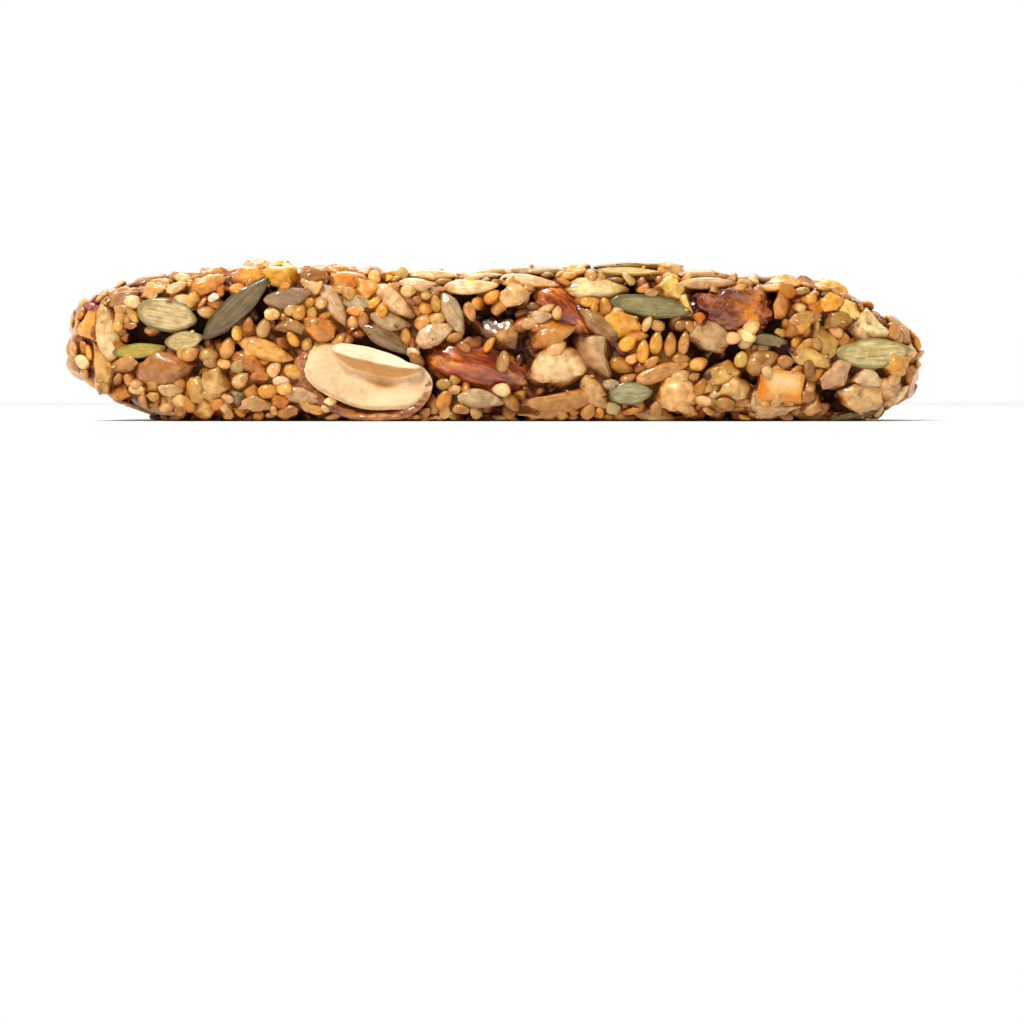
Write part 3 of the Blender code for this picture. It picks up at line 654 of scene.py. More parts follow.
def large_discs(discs, taken):
    """Keeps the room that the almonds and dates take."""
    for row in (*ALMONDS.values(), CUT_ALMOND, *DATES.values()):
        side, along, across, length, width = row[:5]
        point = form_points(facing(side, along * MM, across * MM))
        normal = form_normals(point)[0]
        axes = piece_frame(normal, math.radians(row[6]))
        discs += obstacle_discs("large", point[0], axes[:, 0], length * MM, width * MM)
        taken.append((point[0], LARGE_ROOM_SHARE * (length + width) * MM))


def void_discs():
    """The dark gaps as discs that keep seeds out."""
    points = [form_points(facing("front", along * MM, height * MM))[0] for along, height, _ in VOIDS]
    return [(point, reach * MM) for point, (_, _, reach) in zip(points, VOIDS)]


def side_direction():
    """A random direction over the whole bar, weighted by the area of its sides."""
    side = draw.choice(("x", "y", "z"), p=SIDE_SHARES)
    sign = draw.choice((-1.0, 1.0))
    a, b = draw.uniform(-0.99, 0.99, 2)
    return np.array({"x": (sign, a, b), "y": (a, sign, b), "z": (a, b, sign)}[side])


def lies_close(point, axis, length):
    """True where both ends of a piece stay near the outline."""
    ends = np.stack((point + 0.45 * length * axis, point - 0.45 * length * axis))
    return inset_of(ends).min() > -MOST_STRAY


def free_place(length, width, taken):
    """Tries for a place and a turn in which a piece lies along the form and clear of those before
    it, and takes the room there. Returns the direction of the place and the turn, or None."""
    room = ROOM_SHARE * (length + width)
    for _ in range(PLACES_TRIED):
        face = side_direction()
        turn = draw.uniform(0.0, math.pi)
        point = form_points(face)
        if any(np.linalg.norm(point[0] - other) < room + reach for other, reach in taken):
            continue
        axes = piece_frame(form_normals(point)[0], turn)
        if lies_close(point[0], axes[:, 0], length) and lies_close(point[0], axes[:, 1], width):
            taken.append((point[0], room))
            return face, turn
    return None


def spread_pieces(discs, taken):
    """Larger pieces over the sides that the tables leave out."""
    for kind, count, shortest, longest, share, colours in SPREAD_ROWS:
        for _ in range(count):
            length = draw.uniform(shortest, longest) * MM
            width = length * share * draw.uniform(*WIDTH_RANGE)
            found = free_place(length, width, taken)
            if found:
                face, turn = found
                proud = draw.uniform(*SPREAD_PROUD) * MM
                point, axes = bed_piece(kind, face, length, width, turn, draw.choice(colours), proud)
                discs += obstacle_discs(kind, point, axes[:, 0], length, width)


def pushes(points, centres, reaches):
    """Moves that take points out of reach of the centres."""
    apart = points[:, None] - centres[None]
    far = np.linalg.norm(apart, axis=2) + 1e-9
    return (apart * (np.maximum(reaches - far, 0.0) / far)[:, :, None]).sum(1)


def relaxed_points(count, discs):
    """Points spread evenly over the form, pushed off each other and off the larger pieces."""
    points = form_points(np.array([side_direction() for _ in range(count)]))
    centres = np.array([disc[0] for disc in discs])
    reaches = np.array([disc[1] for disc in discs]) + FILL_CLEARANCE
    for _ in range(RELAX_ROUNDS):
        moves = SMALL_PUSH * pushes(points, points, 2.0 * FILL_REACH)
        moves += LARGE_PUSH * pushes(points, centres, reaches)
        longest = np.linalg.norm(moves, axis=1, keepdims=True) + 1e-9
        moves *= np.minimum(1.0, LONGEST_MOVE / longest)
        points = form_points(facing_of(points + moves))
    far = np.linalg.norm(points[:, None] - centres[None], axis=2)
    return points[(far > DROP_SHARE * reaches).all(1)]


def fill_pieces(discs):
    """Sesame and nut granules between the larger pieces, and more of them deeper in."""
    points = relaxed_points(FILL_SESAME + FILL_GRANULES, discs)
    granule_share = FILL_GRANULES / (FILL_SESAME + FILL_GRANULES)
    for point, normal in zip(points, form_normals(points)):
        kind = "granule" if draw.uniform() < granule_share else "sesame"
        fill_piece(kind, point, normal, draw.uniform(*FILL_PROUD) * MM)
    points = form_points(np.array([side_direction() for _ in range(UNDER_SESAME)]))
    voids = void_discs()
    for point, normal in zip(points, form_normals(points)):
        if all(np.linalg.norm(point - centre) > reach + VOID_CLEARANCE for centre, reach in voids):
            fill_piece("sesame", point, normal, draw.uniform(*UNDER_PROUD) * MM)


def fill_piece(kind, point, normal, proud):
    """Beds one small piece, unless it would show through the cut almond's face."""
    length = draw.uniform(*FILL_LENGTHS[kind]) * MM
    size = piece_size(kind, length, length * draw.uniform(*FILL_WIDTHS))
    turn = draw.uniform(0.0, math.pi)
    roll, lean = draw.normal(0.0, FILL_ROLL), draw.normal(0.0, FILL_LEAN)
    place = point - normal * (0.5 * size[2] - proud)
    if over_cut_almond(place):
        return
    colours = FILL_COLOURS if kind == "sesame" else GRANULE_COLOURS
    add_piece(kind, place, piece_frame(normal, turn, roll, lean), size, draw.choice(colours))


def over_cut_almond(place):
    """True for a place under the cut almond's face, which is hollow and would let it show."""
    origin, ends = placed(CUT_ALMOND, np.array(((0.0, 0.0, 0.0),)), 0.0)[0], np.eye(3)
    axes = placed(CUT_ALMOND, ends, 0.0) - origin
    shares = [(place - origin).dot(axis) / axis.dot(axis) for axis in axes[:2]]
    return place[1] < 0.0 and math.hypot(*shares) < CUT_ALMOND_HOLLOW


def scatter_crumbs(stamps):
    """Crumbs of nut, stuck on the outer sides of the pieces."""
    kinds = ("sunflower", "chunk", "pumpkin", "sesame")
    ground = np.concatenate([stamps[kind]["verts"][::CRUMB_STEP] for kind in kinds])
    ground = ground[inset_of(ground) < CRUMB_DEPTH]
    for index in draw.randint(0, len(ground), CRUMBS):
        size = np.array((1.0, 0.8, 0.7)) * draw.uniform(*CRUMB_LENGTHS) * MM
        turn, roll = draw.uniform(0.0, math.pi), draw.uniform(-CRUMB_ROLL, CRUMB_ROLL)
        axes = piece_frame(np.array((0.0, 0.0, 1.0)), turn, roll)
        add_piece("crumb", ground[index], axes, size, draw.choice(CRUMB_COLOURS))


# Meshes

def configured(owner, **settings):
    """Gives a modifier, node, light or camera its settings."""
    for key, value in settings.items():
        setattr(owner, key, value)
    return owner


def add_layer(layers, name, kind, key, values):
    """Keeps a value for each vertex of a mesh."""
    layer = layers.get(name) or layers.new(name, kind, "POINT")
    layer.data.foreach_set(key, np.array(values, np.float32).ravel())


def joined_mesh(name, verts, faces, tints=None, local=None, flank=0.0):
    """One object from arrays of vertices and triangles. Each vertex also keeps its colour, its place in
    its own piece, and how far it lies under the bar's outline, with more on its piece's inner flank, which
    sets its syrup tint and painted shade."""
    mesh = bpy.data.meshes.new(name)
    mesh.from_pydata(verts, [], faces)
    mesh.shade_smooth()
    add_layer(mesh.attributes, "shade_depth", "FLOAT", "value", shade_depth_share(verts, flank))
    if tints is not None:
        add_layer(mesh.color_attributes, "tint", "FLOAT_COLOR", "color", tints)
    if local is not None:
        add_layer(mesh.attributes, "local", "FLOAT_VECTOR", "vector", local)
    return add_object(name, mesh)


def shade_depth_share(verts, flank=0.0):
    """How deep points lie in the bar, from 0 to 1, and more on the flanks of their own piece: the share of
    syrup tint and painted shade.
    """
    return np.clip(inset_of(verts) / FULL_SHADE_DEPTH + FLANK_SHADE * flank, 0.0, 1.0).astype(np.float32)


def flat_base(verts, level):
    """Presses what lies under the base up to a level just above it."""
    verts[:, 2] = np.maximum(verts[:, 2], level)
    return verts


def gathered(parts):
    """Several meshes as one: vertices, triangles and places in their pieces."""
    verts, faces, local = zip(*parts)
    starts = np.cumsum([0, *(len(points) for points in verts[:-1])])
    faces = [triangles + start for triangles, start in zip(faces, starts)]
    return np.concatenate(verts), np.concatenate(faces), np.concatenate(local)


def stamped(kind):
    """Every piece of a kind as one mesh: vertices, triangles, colours and places in their pieces."""
    parts, tints = [], []
    for index, (place, axes, size, tint, luck) in enumerate(pieces[kind]):
        unit, triangles = TEMPLATES[kind][index % len(TEMPLATES[kind])]
        level = LOWEST_BASE + luck * (HIGHEST_BASE - LOWEST_BASE)
        parts.append((flat_base((unit * size) @ axes.T + place, level), triangles, unit))
        tints.append(np.tile((*tint, luck), (len(unit), 1)))
    verts, faces, local = gathered(parts)
    return {"verts": verts, "faces": faces, "tints": np.concatenate(tints), "local": local}


# Wrinkles in an almond's skin: height, and scale of the noise along the almond and around it.
WRINKLES = ((1.0, 3.0, 3.2), (0.6, 5.0, 8.0), (0.3, 22.0, 9.0))


def almond_mesh(row, salt):
    """A whole almond with a blunt end, a point, and wrinkles along its skin."""
    work = bmesh.new()
    turned = Matrix.Rotation(math.pi / 2, 4, "Y")
    bmesh.ops.create_uvsphere(work, u_segments=72, v_segments=44, radius=0.5, matrix=turned)
    verts, faces = take_mesh(work)
    narrow = 1.0 - 0.36 * (verts[:, 0] + 0.5) ** 1.3
    angle = np.arctan2(verts[:, 2], verts[:, 1])
    wrinkle = np.zeros(len(verts))
    for height, along, around in WRINKLES:
        heights = [
            noise.noise(Vector((x * along, math.cos(a) * around + salt, math.sin(a) * around)))
            for x, a in zip(verts[:, 0], angle)
        ]
        wrinkle += height * np.array(heights)
    narrow = narrow * (1.0 + 0.055 * wrinkle)
    unit = narrowed(verts, narrow, narrow)
    return placed(row, unit, 0.5), faces, unit + salt * 3.7


def placed(row, unit, outer):
    """Puts a unit shape where a row says, with its outer side that far out of the outline."""
    side, along, across, length, width, depth, turn, proud = row
    point = form_points(facing(side, along * MM, across * MM))
    normal = form_normals(point)[0]
    axes = piece_frame(normal, math.radians(turn))
    size = np.array((length, width, depth)) * MM
    return (unit * size) @ axes.T + point[0] - normal * (outer * size[2] - proud * MM)


def date_mesh(row, salt):
    """A torn piece of date: a wet lump, creased at three scales."""
    verts, faces = ball(5)
    verts = rough(verts, salt, (0.22, 3.0, 0), (0.16, 8.0, 7), (0.08, 19.0, 9))
    verts = verts / np.abs(verts).max(0) * 0.5
    verts = np.sign(verts) * np.abs(2.0 * verts) ** 0.86 * 0.5
    return placed(row, verts, 0.5), faces, verts + salt * 3.7


def band(ring, rise):
    """Triangles between a ring of points and the ring whose points are so many further on."""
    after = np.roll(ring, -1)
    return np.stack((ring, ring + rise, after + rise, ring, after + rise, after), 1).reshape(-1, 3)


def disc_grid(rings, sides):
    """A disc of unit diameter as rings of points round a middle one, and its triangles."""
    points = [(0.0, 0.0)]
    for ring in range(1, rings + 1):
        for side in range(sides):
            angle = 2.0 * math.pi * side / sides
            reach = 0.5 * ring / rings
            points.append((reach * math.cos(angle), reach * math.sin(angle)))
    first = 1 + np.arange(sides)
    middle = np.stack((0 * first, first, np.roll(first, -1)), 1)
    bands = [band(first + ring * sides, sides) for ring in range(rings - 1)]
    return np.array(points), np.concatenate((middle, *bands))


def closed_disc(flat, top, bottom, front, rings, sides):
    """Closes a top and a bottom over the same disc into one solid."""
    upper = np.stack((flat[:, 0], flat[:, 1], top), 1)
    lower = np.stack((flat[:, 0], flat[:, 1], bottom), 1)
    wall = band(1 + (rings - 1) * sides + np.arange(sides), len(flat))
    faces = np.concatenate((front, front[:, ::-1] + len(flat), wall))
    return np.concatenate((upper, lower)), faces


# Rings and sides of the cut almond's mesh.
ALMOND_DISC = (44, 128)

# Outline of the cut side, anticlockwise in millimetres along the almond and across it. Its upper
# right side is nearly straight, and ends in the notch beside the inner lobe.
CUT_OUTLINE = np.array((
    (9.4, 1.3), (6.9, 3.5), (5.9, 3.0), (1.1, 4.3), (-2.8, 4.5), (-6.7, 4.1), (-9.4, 3.0), (-10.0, 1.9),
    (-9.9, -0.2), (-8.1, -2.3), (-4.2, -3.8), (0.9, -4.5), (4.0, -3.9), (7.0, -3.2), (8.7, -1.8),
))


def almond_disc():
    """The cut side as a disc grid, stretched to its outline."""
    flat, front = disc_grid(*ALMOND_DISC)
    rim = np.clip(np.hypot(flat[:, 0], flat[:, 1]) * 2.0, 0.0, 1.0)
    seen = CUT_OUTLINE / np.array(CUT_ALMOND[3:5])
    reach = np.hypot(seen[:, 0], seen[:, 1])
    angles = np.arctan2(seen[:, 1], seen[:, 0])
    spin = np.linspace(-math.pi, math.pi, 361)
    radius = np.interp(spin, angles, reach, period=2.0 * math.pi)
    radius = np.convolve(np.tile(radius[:-1], 3), np.ones(13) / 13.0, "same")[360:720]
    angle = np.arctan2(flat[:, 1], flat[:, 0])
    grow = np.interp(angle, spin[:-1], radius, period=2.0 * math.pi) / 0.5
    return flat * grow[:, None], rim, front


def ripple(flat, scale, salt):
    """Smooth noise over the points of a disc."""
    return np.array([noise.noise(Vector((x * scale, y * scale, salt))) for x, y in flat])


def lobe_shape(flat):
    """The inner lobe of the cut side, a ridge along its upper right: how far inside its outline a point
    lies, its height, and how near the point is to the lobe's upper side, which the flesh paints paler as
    painted light."""
    tilt = math.radians(-3.0)
    away = flat - np.array((0.045, 0.235))
    along = away[:, 0] * math.cos(tilt) + away[:, 1] * math.sin(tilt)
    across = -away[:, 0] * math.sin(tilt) + away[:, 1] * math.cos(tilt)
    waver = ripple(flat, 7.0, 33.0)
    across = across - 0.35 * along ** 2 + 0.018 * waver
    inside = 1.0 - np.abs(along / 0.36) ** 2.6 - np.abs(across / 0.185) ** 2 + 0.12 * waver
    edge = smooth_step(inside / 0.22)
    crest = across + 0.02
    roof = np.where(crest < 0.0, 0.20 + 0.8 * crest, 0.20 - 0.62 * crest)
    return edge, edge * roof, smooth_step(0.5 + crest / 0.035)


def almond_relief(flat, rim):
    """Height of the cut side: a soft hollow, a dent under the lobe, and the lobe itself."""
    edge, lobe, _ = lobe_shape(flat)
    hollow = 0.13 * smooth_step(1.25 * (1.0 - rim))
    dent = almond_dent(flat) * (1.0 - edge)
    height = HALF_ALMOND_LEVEL - hollow - 0.11 * dent + lobe
    height += 0.03 * ripple(flat, 6.0, 4.0) + 0.014 * ripple(flat, 26.0, 9.0)
    height -= 0.05 * edge * np.maximum(ripple(flat, 40.0, 3.0) - 0.15, 0.0)
    nicks = ripple(flat, 9.0, 21.0)
    return height - (0.07 + 0.05 * np.maximum(nicks, 0.0)) * smooth_step((rim - 0.86) / 0.14)


def almond_dent(flat):
    along = (flat[:, 0] - 0.09 + 0.5 * flat[:, 1]) / 0.15
    return np.exp(-along ** 2 - ((flat[:, 1] + 0.01) / 0.12) ** 2)


# The cut side's cream, its tan, painted shade on the lobe's lower side and in the dent that also lines the
# upper left of the rim, and a pale cream painted as light on the lobe's upper side.
FLESH_CREAM = (0.87, 0.64, 0.39)
FLESH_SHADE_TAN = (0.60, 0.32, 0.11)
FLESH_LIT = (0.93, 0.80, 0.58)


def cut_almond_flesh():
    """The cut side with its colours: palest on top of the lobe, as painted light, and tan on the lobe's
    lower side and in the dent, as painted shade, and along the upper left of the rim."""
    flat, rim, front = almond_disc()
    edge, _, upper = lobe_shape(flat)
    height = almond_relief(flat, rim)
    under = HALF_ALMOND_LEVEL - 0.10 - 0.47 * np.sqrt(np.clip(1.0 - rim ** 2, 0.0, 1.0))
    unit, faces = closed_disc(flat, height, np.minimum(under, height - 0.02), front, *ALMOND_DISC)
    tan_rim = smooth_step((rim - 0.72) / 0.3) * smooth_step((flat[:, 1] - 0.10) / 0.2)
    tan_rim = tan_rim * smooth_step((0.05 - flat[:, 0]) / 0.3)
    # Tan: painted shade on the lobe's lower side and in the dent, and tan along the upper left of the rim.
    tan = np.maximum(edge * (1.0 - upper), (1.0 - edge) * np.maximum(0.85 * almond_dent(flat), tan_rim))
    cream = np.outer(1.0 - tan, FLESH_CREAM) + np.outer(tan, FLESH_SHADE_TAN)
    # Pale: painted light on the lobe's upper side.
    pale = (edge * upper)[:, None]
    tints = cream * (1.0 - pale) + np.array(FLESH_LIT) * pale
    tints = np.concatenate((tints, np.ones((len(tints), 1))), 1)
    verts = flat_base(placed(CUT_ALMOND, unit, HALF_ALMOND_LEVEL), HIGHEST_BASE)
    return verts, faces, np.concatenate((tints, tints)), unit


def cut_almond_skin():
    """The skin behind the cut side, a cup whose rim shows most along its lower edge."""
    flat, rim, front = almond_disc()
    lower = smooth_step((0.05 - flat[:, 1]) / 0.3)
    flat = flat * np.array((1.03, 1.08)) + np.array((-0.014, -0.066))
    flat = flat + np.outer(rim * lower, (-0.03, -0.055))
    crumple = ripple(flat, 14.0, 2.0)
    top = HALF_ALMOND_LEVEL - 0.02 - 0.34 * smooth_step((0.92 - rim) / 0.3) + 0.05 * crumple
    top -= 0.06 * smooth_step((rim - 0.90) / 0.10)
    bottom = HALF_ALMOND_LEVEL - 0.12 - 0.5 * np.sqrt(np.clip(1.0 - rim ** 2, 0.0, 1.0))
    unit, faces = closed_disc(flat, top, np.minimum(bottom, top - 0.02), front, *ALMOND_DISC)
    verts = flat_base(placed(CUT_ALMOND, unit, HALF_ALMOND_LEVEL), LOWEST_BASE)
    return verts, faces, unit


def core_block():
    """The pressed block under the seeds, as a fine grid bent to the form."""
    work = bmesh.new()
    bmesh.ops.create_cube(work, size=2.0)
    bmesh.ops.subdivide_edges(work, edges=work.edges[:], cuts=23, use_grid_fill=True)
    verts, faces = take_mesh(work)
    return form_points(verts, SYRUP_INSET), faces, verts


def syrup_mesh(stamps):
    """The syrup that binds the bar: the whole heap closed over, smoothed, and drawn back in, so
    that it fills the creases between the pieces and leaves their outer sides bare."""
    parts = [core_block()] + [(stamp["verts"], stamp["faces"], stamp["local"]) for stamp in stamps]
    source = joined_mesh("syrup_source", *gathered(parts)[:2])
    configured(source.modifiers.new("remesh", "REMESH"), mode="VOXEL", voxel_size=SYRUP_VOXEL)
    configured(source.modifiers.new("smooth", "SMOOTH"), iterations=SYRUP_SMOOTHINGS, factor=0.5)
    configured(source.modifiers.new("shrink", "DISPLACE"), mid_level=0.0, strength=-SYRUP_SHRINK)
    graph = bpy.context.evaluated_depsgraph_get()
    mesh = bpy.data.meshes.new_from_object(source.evaluated_get(graph))
    bpy.data.objects.remove(source)
    mesh.name = "syrup"
    points = np.zeros(len(mesh.vertices) * 3, np.float32)
    mesh.vertices.foreach_get("co", points)
    points = points.reshape(-1, 3).astype(float)
    short = np.maximum(SYRUP_LEAST_INSET - inset_of(points), 0.0)
    points = flat_base(points - short[:, None] * form_normals(points), HIGHEST_BASE)
    mesh.vertices.foreach_set("co", points.astype(np.float32).ravel())
    add_layer(mesh.attributes, "shade_depth", "FLOAT", "value", shade_depth_share(points))
    mesh.shade_smooth()
    return add_object("syrup", mesh)


# Materials

# How far apart the noise of two pieces is taken, and how deep light goes into a piece.
SEED_STRIDE = 60.0
GLOW_DEPTH = 0.6 * MM

# How a colour is deepened from the outline inwards, partly as a syrup tint and partly as painted shade in
# the creases between the pieces, and the syrup's own dark amber, darkened with depth the same way as
# painted shade.
SYRUP_AND_SHADE_STOPS = (
    (0.0, (1.0, 0.95, 0.86)),
    (0.14, (0.85, 0.69, 0.46)),
    (0.34, (0.50, 0.27, 0.10)),
    (0.60, (0.19, 0.075, 0.022)),
    (0.9, (0.070, 0.025, 0.008)),
)
SYRUP_SHADE_STOPS = (
    (0.0, (0.50, 0.25, 0.07)),
    (0.22, (0.30, 0.125, 0.026)),
    (0.42, (0.125, 0.044, 0.011)),
    (0.8, (0.060, 0.020, 0.007)),
)

# Skin of a whole almond, whose brightest orange is partly painted highlight in random patches over its
# red-brown, and the thinner skin round the cut one.
SKIN_AND_HIGHLIGHT_STOPS = ((0.32, (0.20, 0.026, 0.006)), (0.48, (0.42, 0.080, 0.013)), (0.62, (0.76, 0.26, 0.04)))
THIN_SKIN_STOPS = ((0.32, (0.28, 0.09, 0.035)), (0.50, (0.44, 0.16, 0.05)), (0.66, (0.62, 0.27, 0.08)))


class Nodes:
    """Builds the nodes of one material or world."""

    def __init__(self, owner):
        owner.use_nodes = True
        self.owner = owner
        self.tree = owner.node_tree

    def fill(self, node, sockets):
        """Gives each socket its value, or links it to the output that its value comes from."""
        for name, source in sockets.items():
            socket = node.inputs[name]
            if isinstance(source, bpy.types.NodeSocket):
                self.tree.links.new(source, socket)
            elif socket.type == "RGBA":
                socket.default_value = (*source, 1.0)
            else:
                socket.default_value = source

    def add(self, kind, sockets=None, **settings):
        node = configured(self.tree.nodes.new(kind), **settings)
        self.fill(node, sockets or {})
        return node

    def coordinates(self, kind="Object"):
        return self.add("ShaderNodeTexCoord").outputs[kind]

    def local(self):
        """Where a point lies in its own piece, from -0.5 to 0.5 along each of its axes."""
        return self.add("ShaderNodeAttribute", attribute_name="local").outputs["Vector"]

    def tint(self):
        """The piece's own colour, and a number that differs from piece to piece."""
        node = self.add("ShaderNodeAttribute", attribute_name="tint")
        return node.outputs["Color"], node.outputs["Alpha"]

    def along(self, vector, axis):
        return self.add("ShaderNodeSeparateXYZ", {"Vector": vector}).outputs[axis]

    def from_middle(self, x, y):
        """How far a point lies from a line through its piece, square to the piece's flat side."""
        sockets = {0: self.local(), 1: (1.0, 1.0, 0.0), 2: (-x, -y, 0.0)}
        flat = self.add("ShaderNodeVectorMath", sockets, operation="MULTIPLY_ADD")
        sockets = {0: flat.outputs["Vector"]}
        return self.add("ShaderNodeVectorMath", sockets, operation="LENGTH").outputs["Value"]

    def noise(self, scale, detail=4.0, vector=None, stretch=None, seed=None):
        vector = vector or self.coordinates()
        if stretch:
            sockets = {"Vector": vector, "Scale": stretch}
            vector = self.add("ShaderNodeMapping", sockets).outputs["Vector"]
        sockets = {"Vector": vector, "Scale": scale, "Detail": detail}
        if seed:
            sockets["W"] = self.math("MULTIPLY", seed, SEED_STRIDE)
        found = self.add("ShaderNodeTexNoise", sockets, noise_dimensions="4D" if seed else "3D")
        return found.outputs["Fac"]

    def math(self, operation, first, second):
        return self.add("ShaderNodeMath", {0: first, 1: second}, operation=operation).outputs[0]

    def ramp(self, source, stops):
        found = self.add("ShaderNodeValToRGB", {"Fac": source})
        elements = found.color_ramp.elements
        while len(elements) < len(stops):
            elements.new(0.5)
        for element, (place, colour) in zip(elements, stops):
            element.position = place
            element.color = (*colour, 1.0)
        return found.outputs["Color"]

    def span(self, source, low, high, start=0.3, end=0.7):
        """Runs from low to high as the source goes from start to end."""
        sockets = {"Value": source, "From Min": start, "From Max": end, "To Min": low, "To Max": high}
        return self.add("ShaderNodeMapRange", sockets).outputs["Result"]

    def mix(self, first, second, share, blend="MIX"):
        sockets = {0: share, 6: first, 7: second}
        return self.add("ShaderNodeMix", sockets, data_type="RGBA", blend_type=blend).outputs[2]

    def shaded(self, colour, source, *stops):
        """A colour multiplied by those of a ramp."""
        return self.mix(colour, self.ramp(source, stops), 1.0, "MULTIPLY")

    def bump(self, height, strength, distance, below=None):
        """Relief of so many millimetres, over the relief below."""
        sockets = {"Height": height, "Strength": strength, "Distance": distance * MM}
        if below:
            sockets["Normal"] = below
        return self.add("ShaderNodeBump", sockets).outputs["Normal"]

    def shade_depth(self):
        """How deep in the bar a point lies, from 0 to 1, with an uneven edge: the share of syrup tint and
        painted shade.
        """
        depth = self.add("ShaderNodeAttribute", attribute_name="shade_depth").outputs["Fac"]
        return self.math("ADD", depth, self.span(self.noise(700.0), -0.09, 0.09))

    def syrup_and_shade(self, colour):
        """Deepens a colour towards amber, then dark brown, with depth between the pieces: partly a syrup
        tint, partly painted shade in the creases.
        """
        return self.shaded(colour, self.shade_depth(), *SYRUP_AND_SHADE_STOPS)

    def finish(self, colour, normal, roughness, subsurface, coat, specular=0.3):
        self.fill(self.tree.nodes["Principled BSDF"], {
            "Base Color": colour,
            "Normal": normal,
            "Roughness": roughness,
            "Specular IOR Level": specular,
            "Subsurface Weight": subsurface,
            "Subsurface Radius": (1.0, 0.55, 0.26),
            "Subsurface Scale": GLOW_DEPTH,
            "Coat Weight": coat,
            "Coat Roughness": 0.10,
        })
        return self.owner


def material_nodes(name):
    return Nodes(bpy.data.materials.new(name))


def seed_material(name, grain=2600.0, fibre=0.0, subsurface=0.25, coat=0.35, tip=1.0):
    """Seed or nut: its own tint, mottled, stained by syrup in patches, with fine relief, and deepened with
    depth by syrup tint and painted shade.
    """
    nodes = material_nodes(name)
    tint, seed = nodes.tint()
    mottle = nodes.noise(900.0, 6.0)
    colour = nodes.shaded(tint, mottle, (0.32, (0.68, 0.60, 0.50)), (0.64, (1.13, 1.12, 1.09)))
    stain = nodes.span(nodes.noise(300.0, 3.0), 0.0, 0.36, 0.45, 0.72)
    colour = nodes.mix(colour, (0.46, 0.22, 0.05), stain)
    normal = nodes.bump(nodes.noise(grain, 5.0), 0.55, 0.14)
    if fibre > 0.0:
        lines = nodes.noise(3.0, 3.0, nodes.local(), (1.0, 8.0, 8.0), seed)
        normal = nodes.bump(lines, fibre, 0.15, normal)
        colour = nodes.shaded(colour, lines, (0.3, (0.74, 0.70, 0.64)), (0.65, (1.08, 1.06, 1.03)))
    if tip < 1.0:
        dark_end = nodes.span(nodes.along(nodes.local(), "X"), 0.0, 1.0 - tip, 0.1, 0.5)
        colour = nodes.mix(colour, (0.32, 0.15, 0.04), dark_end)
    roughness = nodes.span(nodes.noise(520.0, 3.0), 0.20, 0.46)
    return nodes.finish(nodes.syrup_and_shade(colour), normal, roughness, subsurface, coat)


def fruit_material():
    """Candied fruit, diced: pale in the middle of its faces and deep orange towards its edges, partly its
    own colour and partly painted light and highlight on the middle, which is set off from the centre;
    deepened with depth by syrup tint and painted shade.
    """
    nodes = material_nodes("fruit")
    uneven = nodes.span(nodes.noise(420.0, 5.0), -0.12, 0.12)
    stops = ((0.08, (0.90, 0.66, 0.36)), (0.28, (0.86, 0.47, 0.12)), (0.46, (0.74, 0.27, 0.02)))
    # Pale middle, set off from the face's centre, partly painted light and highlight; deep orange towards
    # the edges.
    colour = nodes.ramp(nodes.math("ADD", nodes.from_middle(0.07, 0.10), uneven), stops)
    normal = nodes.bump(nodes.noise(1300.0, 5.0), 0.4, 0.12)
    return nodes.finish(nodes.syrup_and_shade(colour), normal, nodes.span(nodes.noise(520.0), 0.2, 0.45), 0.35, 0.6)


def pumpkin_material():
    """Pumpkin seed: a pale flat face in a darker green rim, both streaked along the seed, and deepened
    with depth by syrup tint and painted shade.
    """
    nodes = material_nodes("pumpkin_seed")
    tint, seed = nodes.tint()
    lines = nodes.noise(3.0, 4.0, nodes.local(), (1.0, 7.0, 7.0), seed)
    face = nodes.shaded(tint, lines, (0.3, (0.52, 0.50, 0.42)), (0.68, (1.30, 1.26, 1.20)))
    dark = nodes.mix(tint, (0.46, 0.48, 0.34), 1.0, "MULTIPLY")
    colour = nodes.mix(face, dark, nodes.span(nodes.from_middle(0.0, 0.0), 0.0, 1.0, 0.37, 0.45))
    mottle = nodes.noise(800.0, 6.0)
    colour = nodes.shaded(colour, mottle, (0.35, (0.80, 0.76, 0.66)), (0.65, (1.1, 1.1, 1.08)))
    normal = nodes.bump(lines, 0.5, 0.15, nodes.bump(nodes.noise(2400.0), 0.35, 0.1))
    roughness = nodes.span(nodes.noise(520.0, 3.0), 0.22, 0.5)
    return nodes.finish(nodes.syrup_and_shade(colour), normal, roughness, 0.12, 0.4)


def almond_skin_material(name, stops):
    """Red-brown skin under syrup, with orange-brown ridges along its length; for the whole almonds its
    brightest orange is partly painted highlight.
    """
    nodes = material_nodes(name)
    colour = nodes.ramp(nodes.noise(1.7, 3.0, nodes.local(), (1.4, 2.4, 2.4)), stops)
    lines = nodes.noise(3.0, 6.0, nodes.local(), (1.5, 4.6, 4.6))
    colour = nodes.shaded(colour, lines, (0.36, (0.52, 0.42, 0.36)), (0.6, (1.25, 1.3, 1.3)))
    pits = nodes.noise(1300.0)
    colour = nodes.mix(colour, (0.07, 0.015, 0.006), nodes.span(pits, 0.45, 0.0, 0.36, 0.5))
    normal = nodes.bump(pits, 0.5, 0.15, nodes.bump(lines, 0.6, 0.3))
    return nodes.finish(colour, normal, nodes.span(nodes.noise(600.0), 0.12, 0.34), 0.06, 0.9)


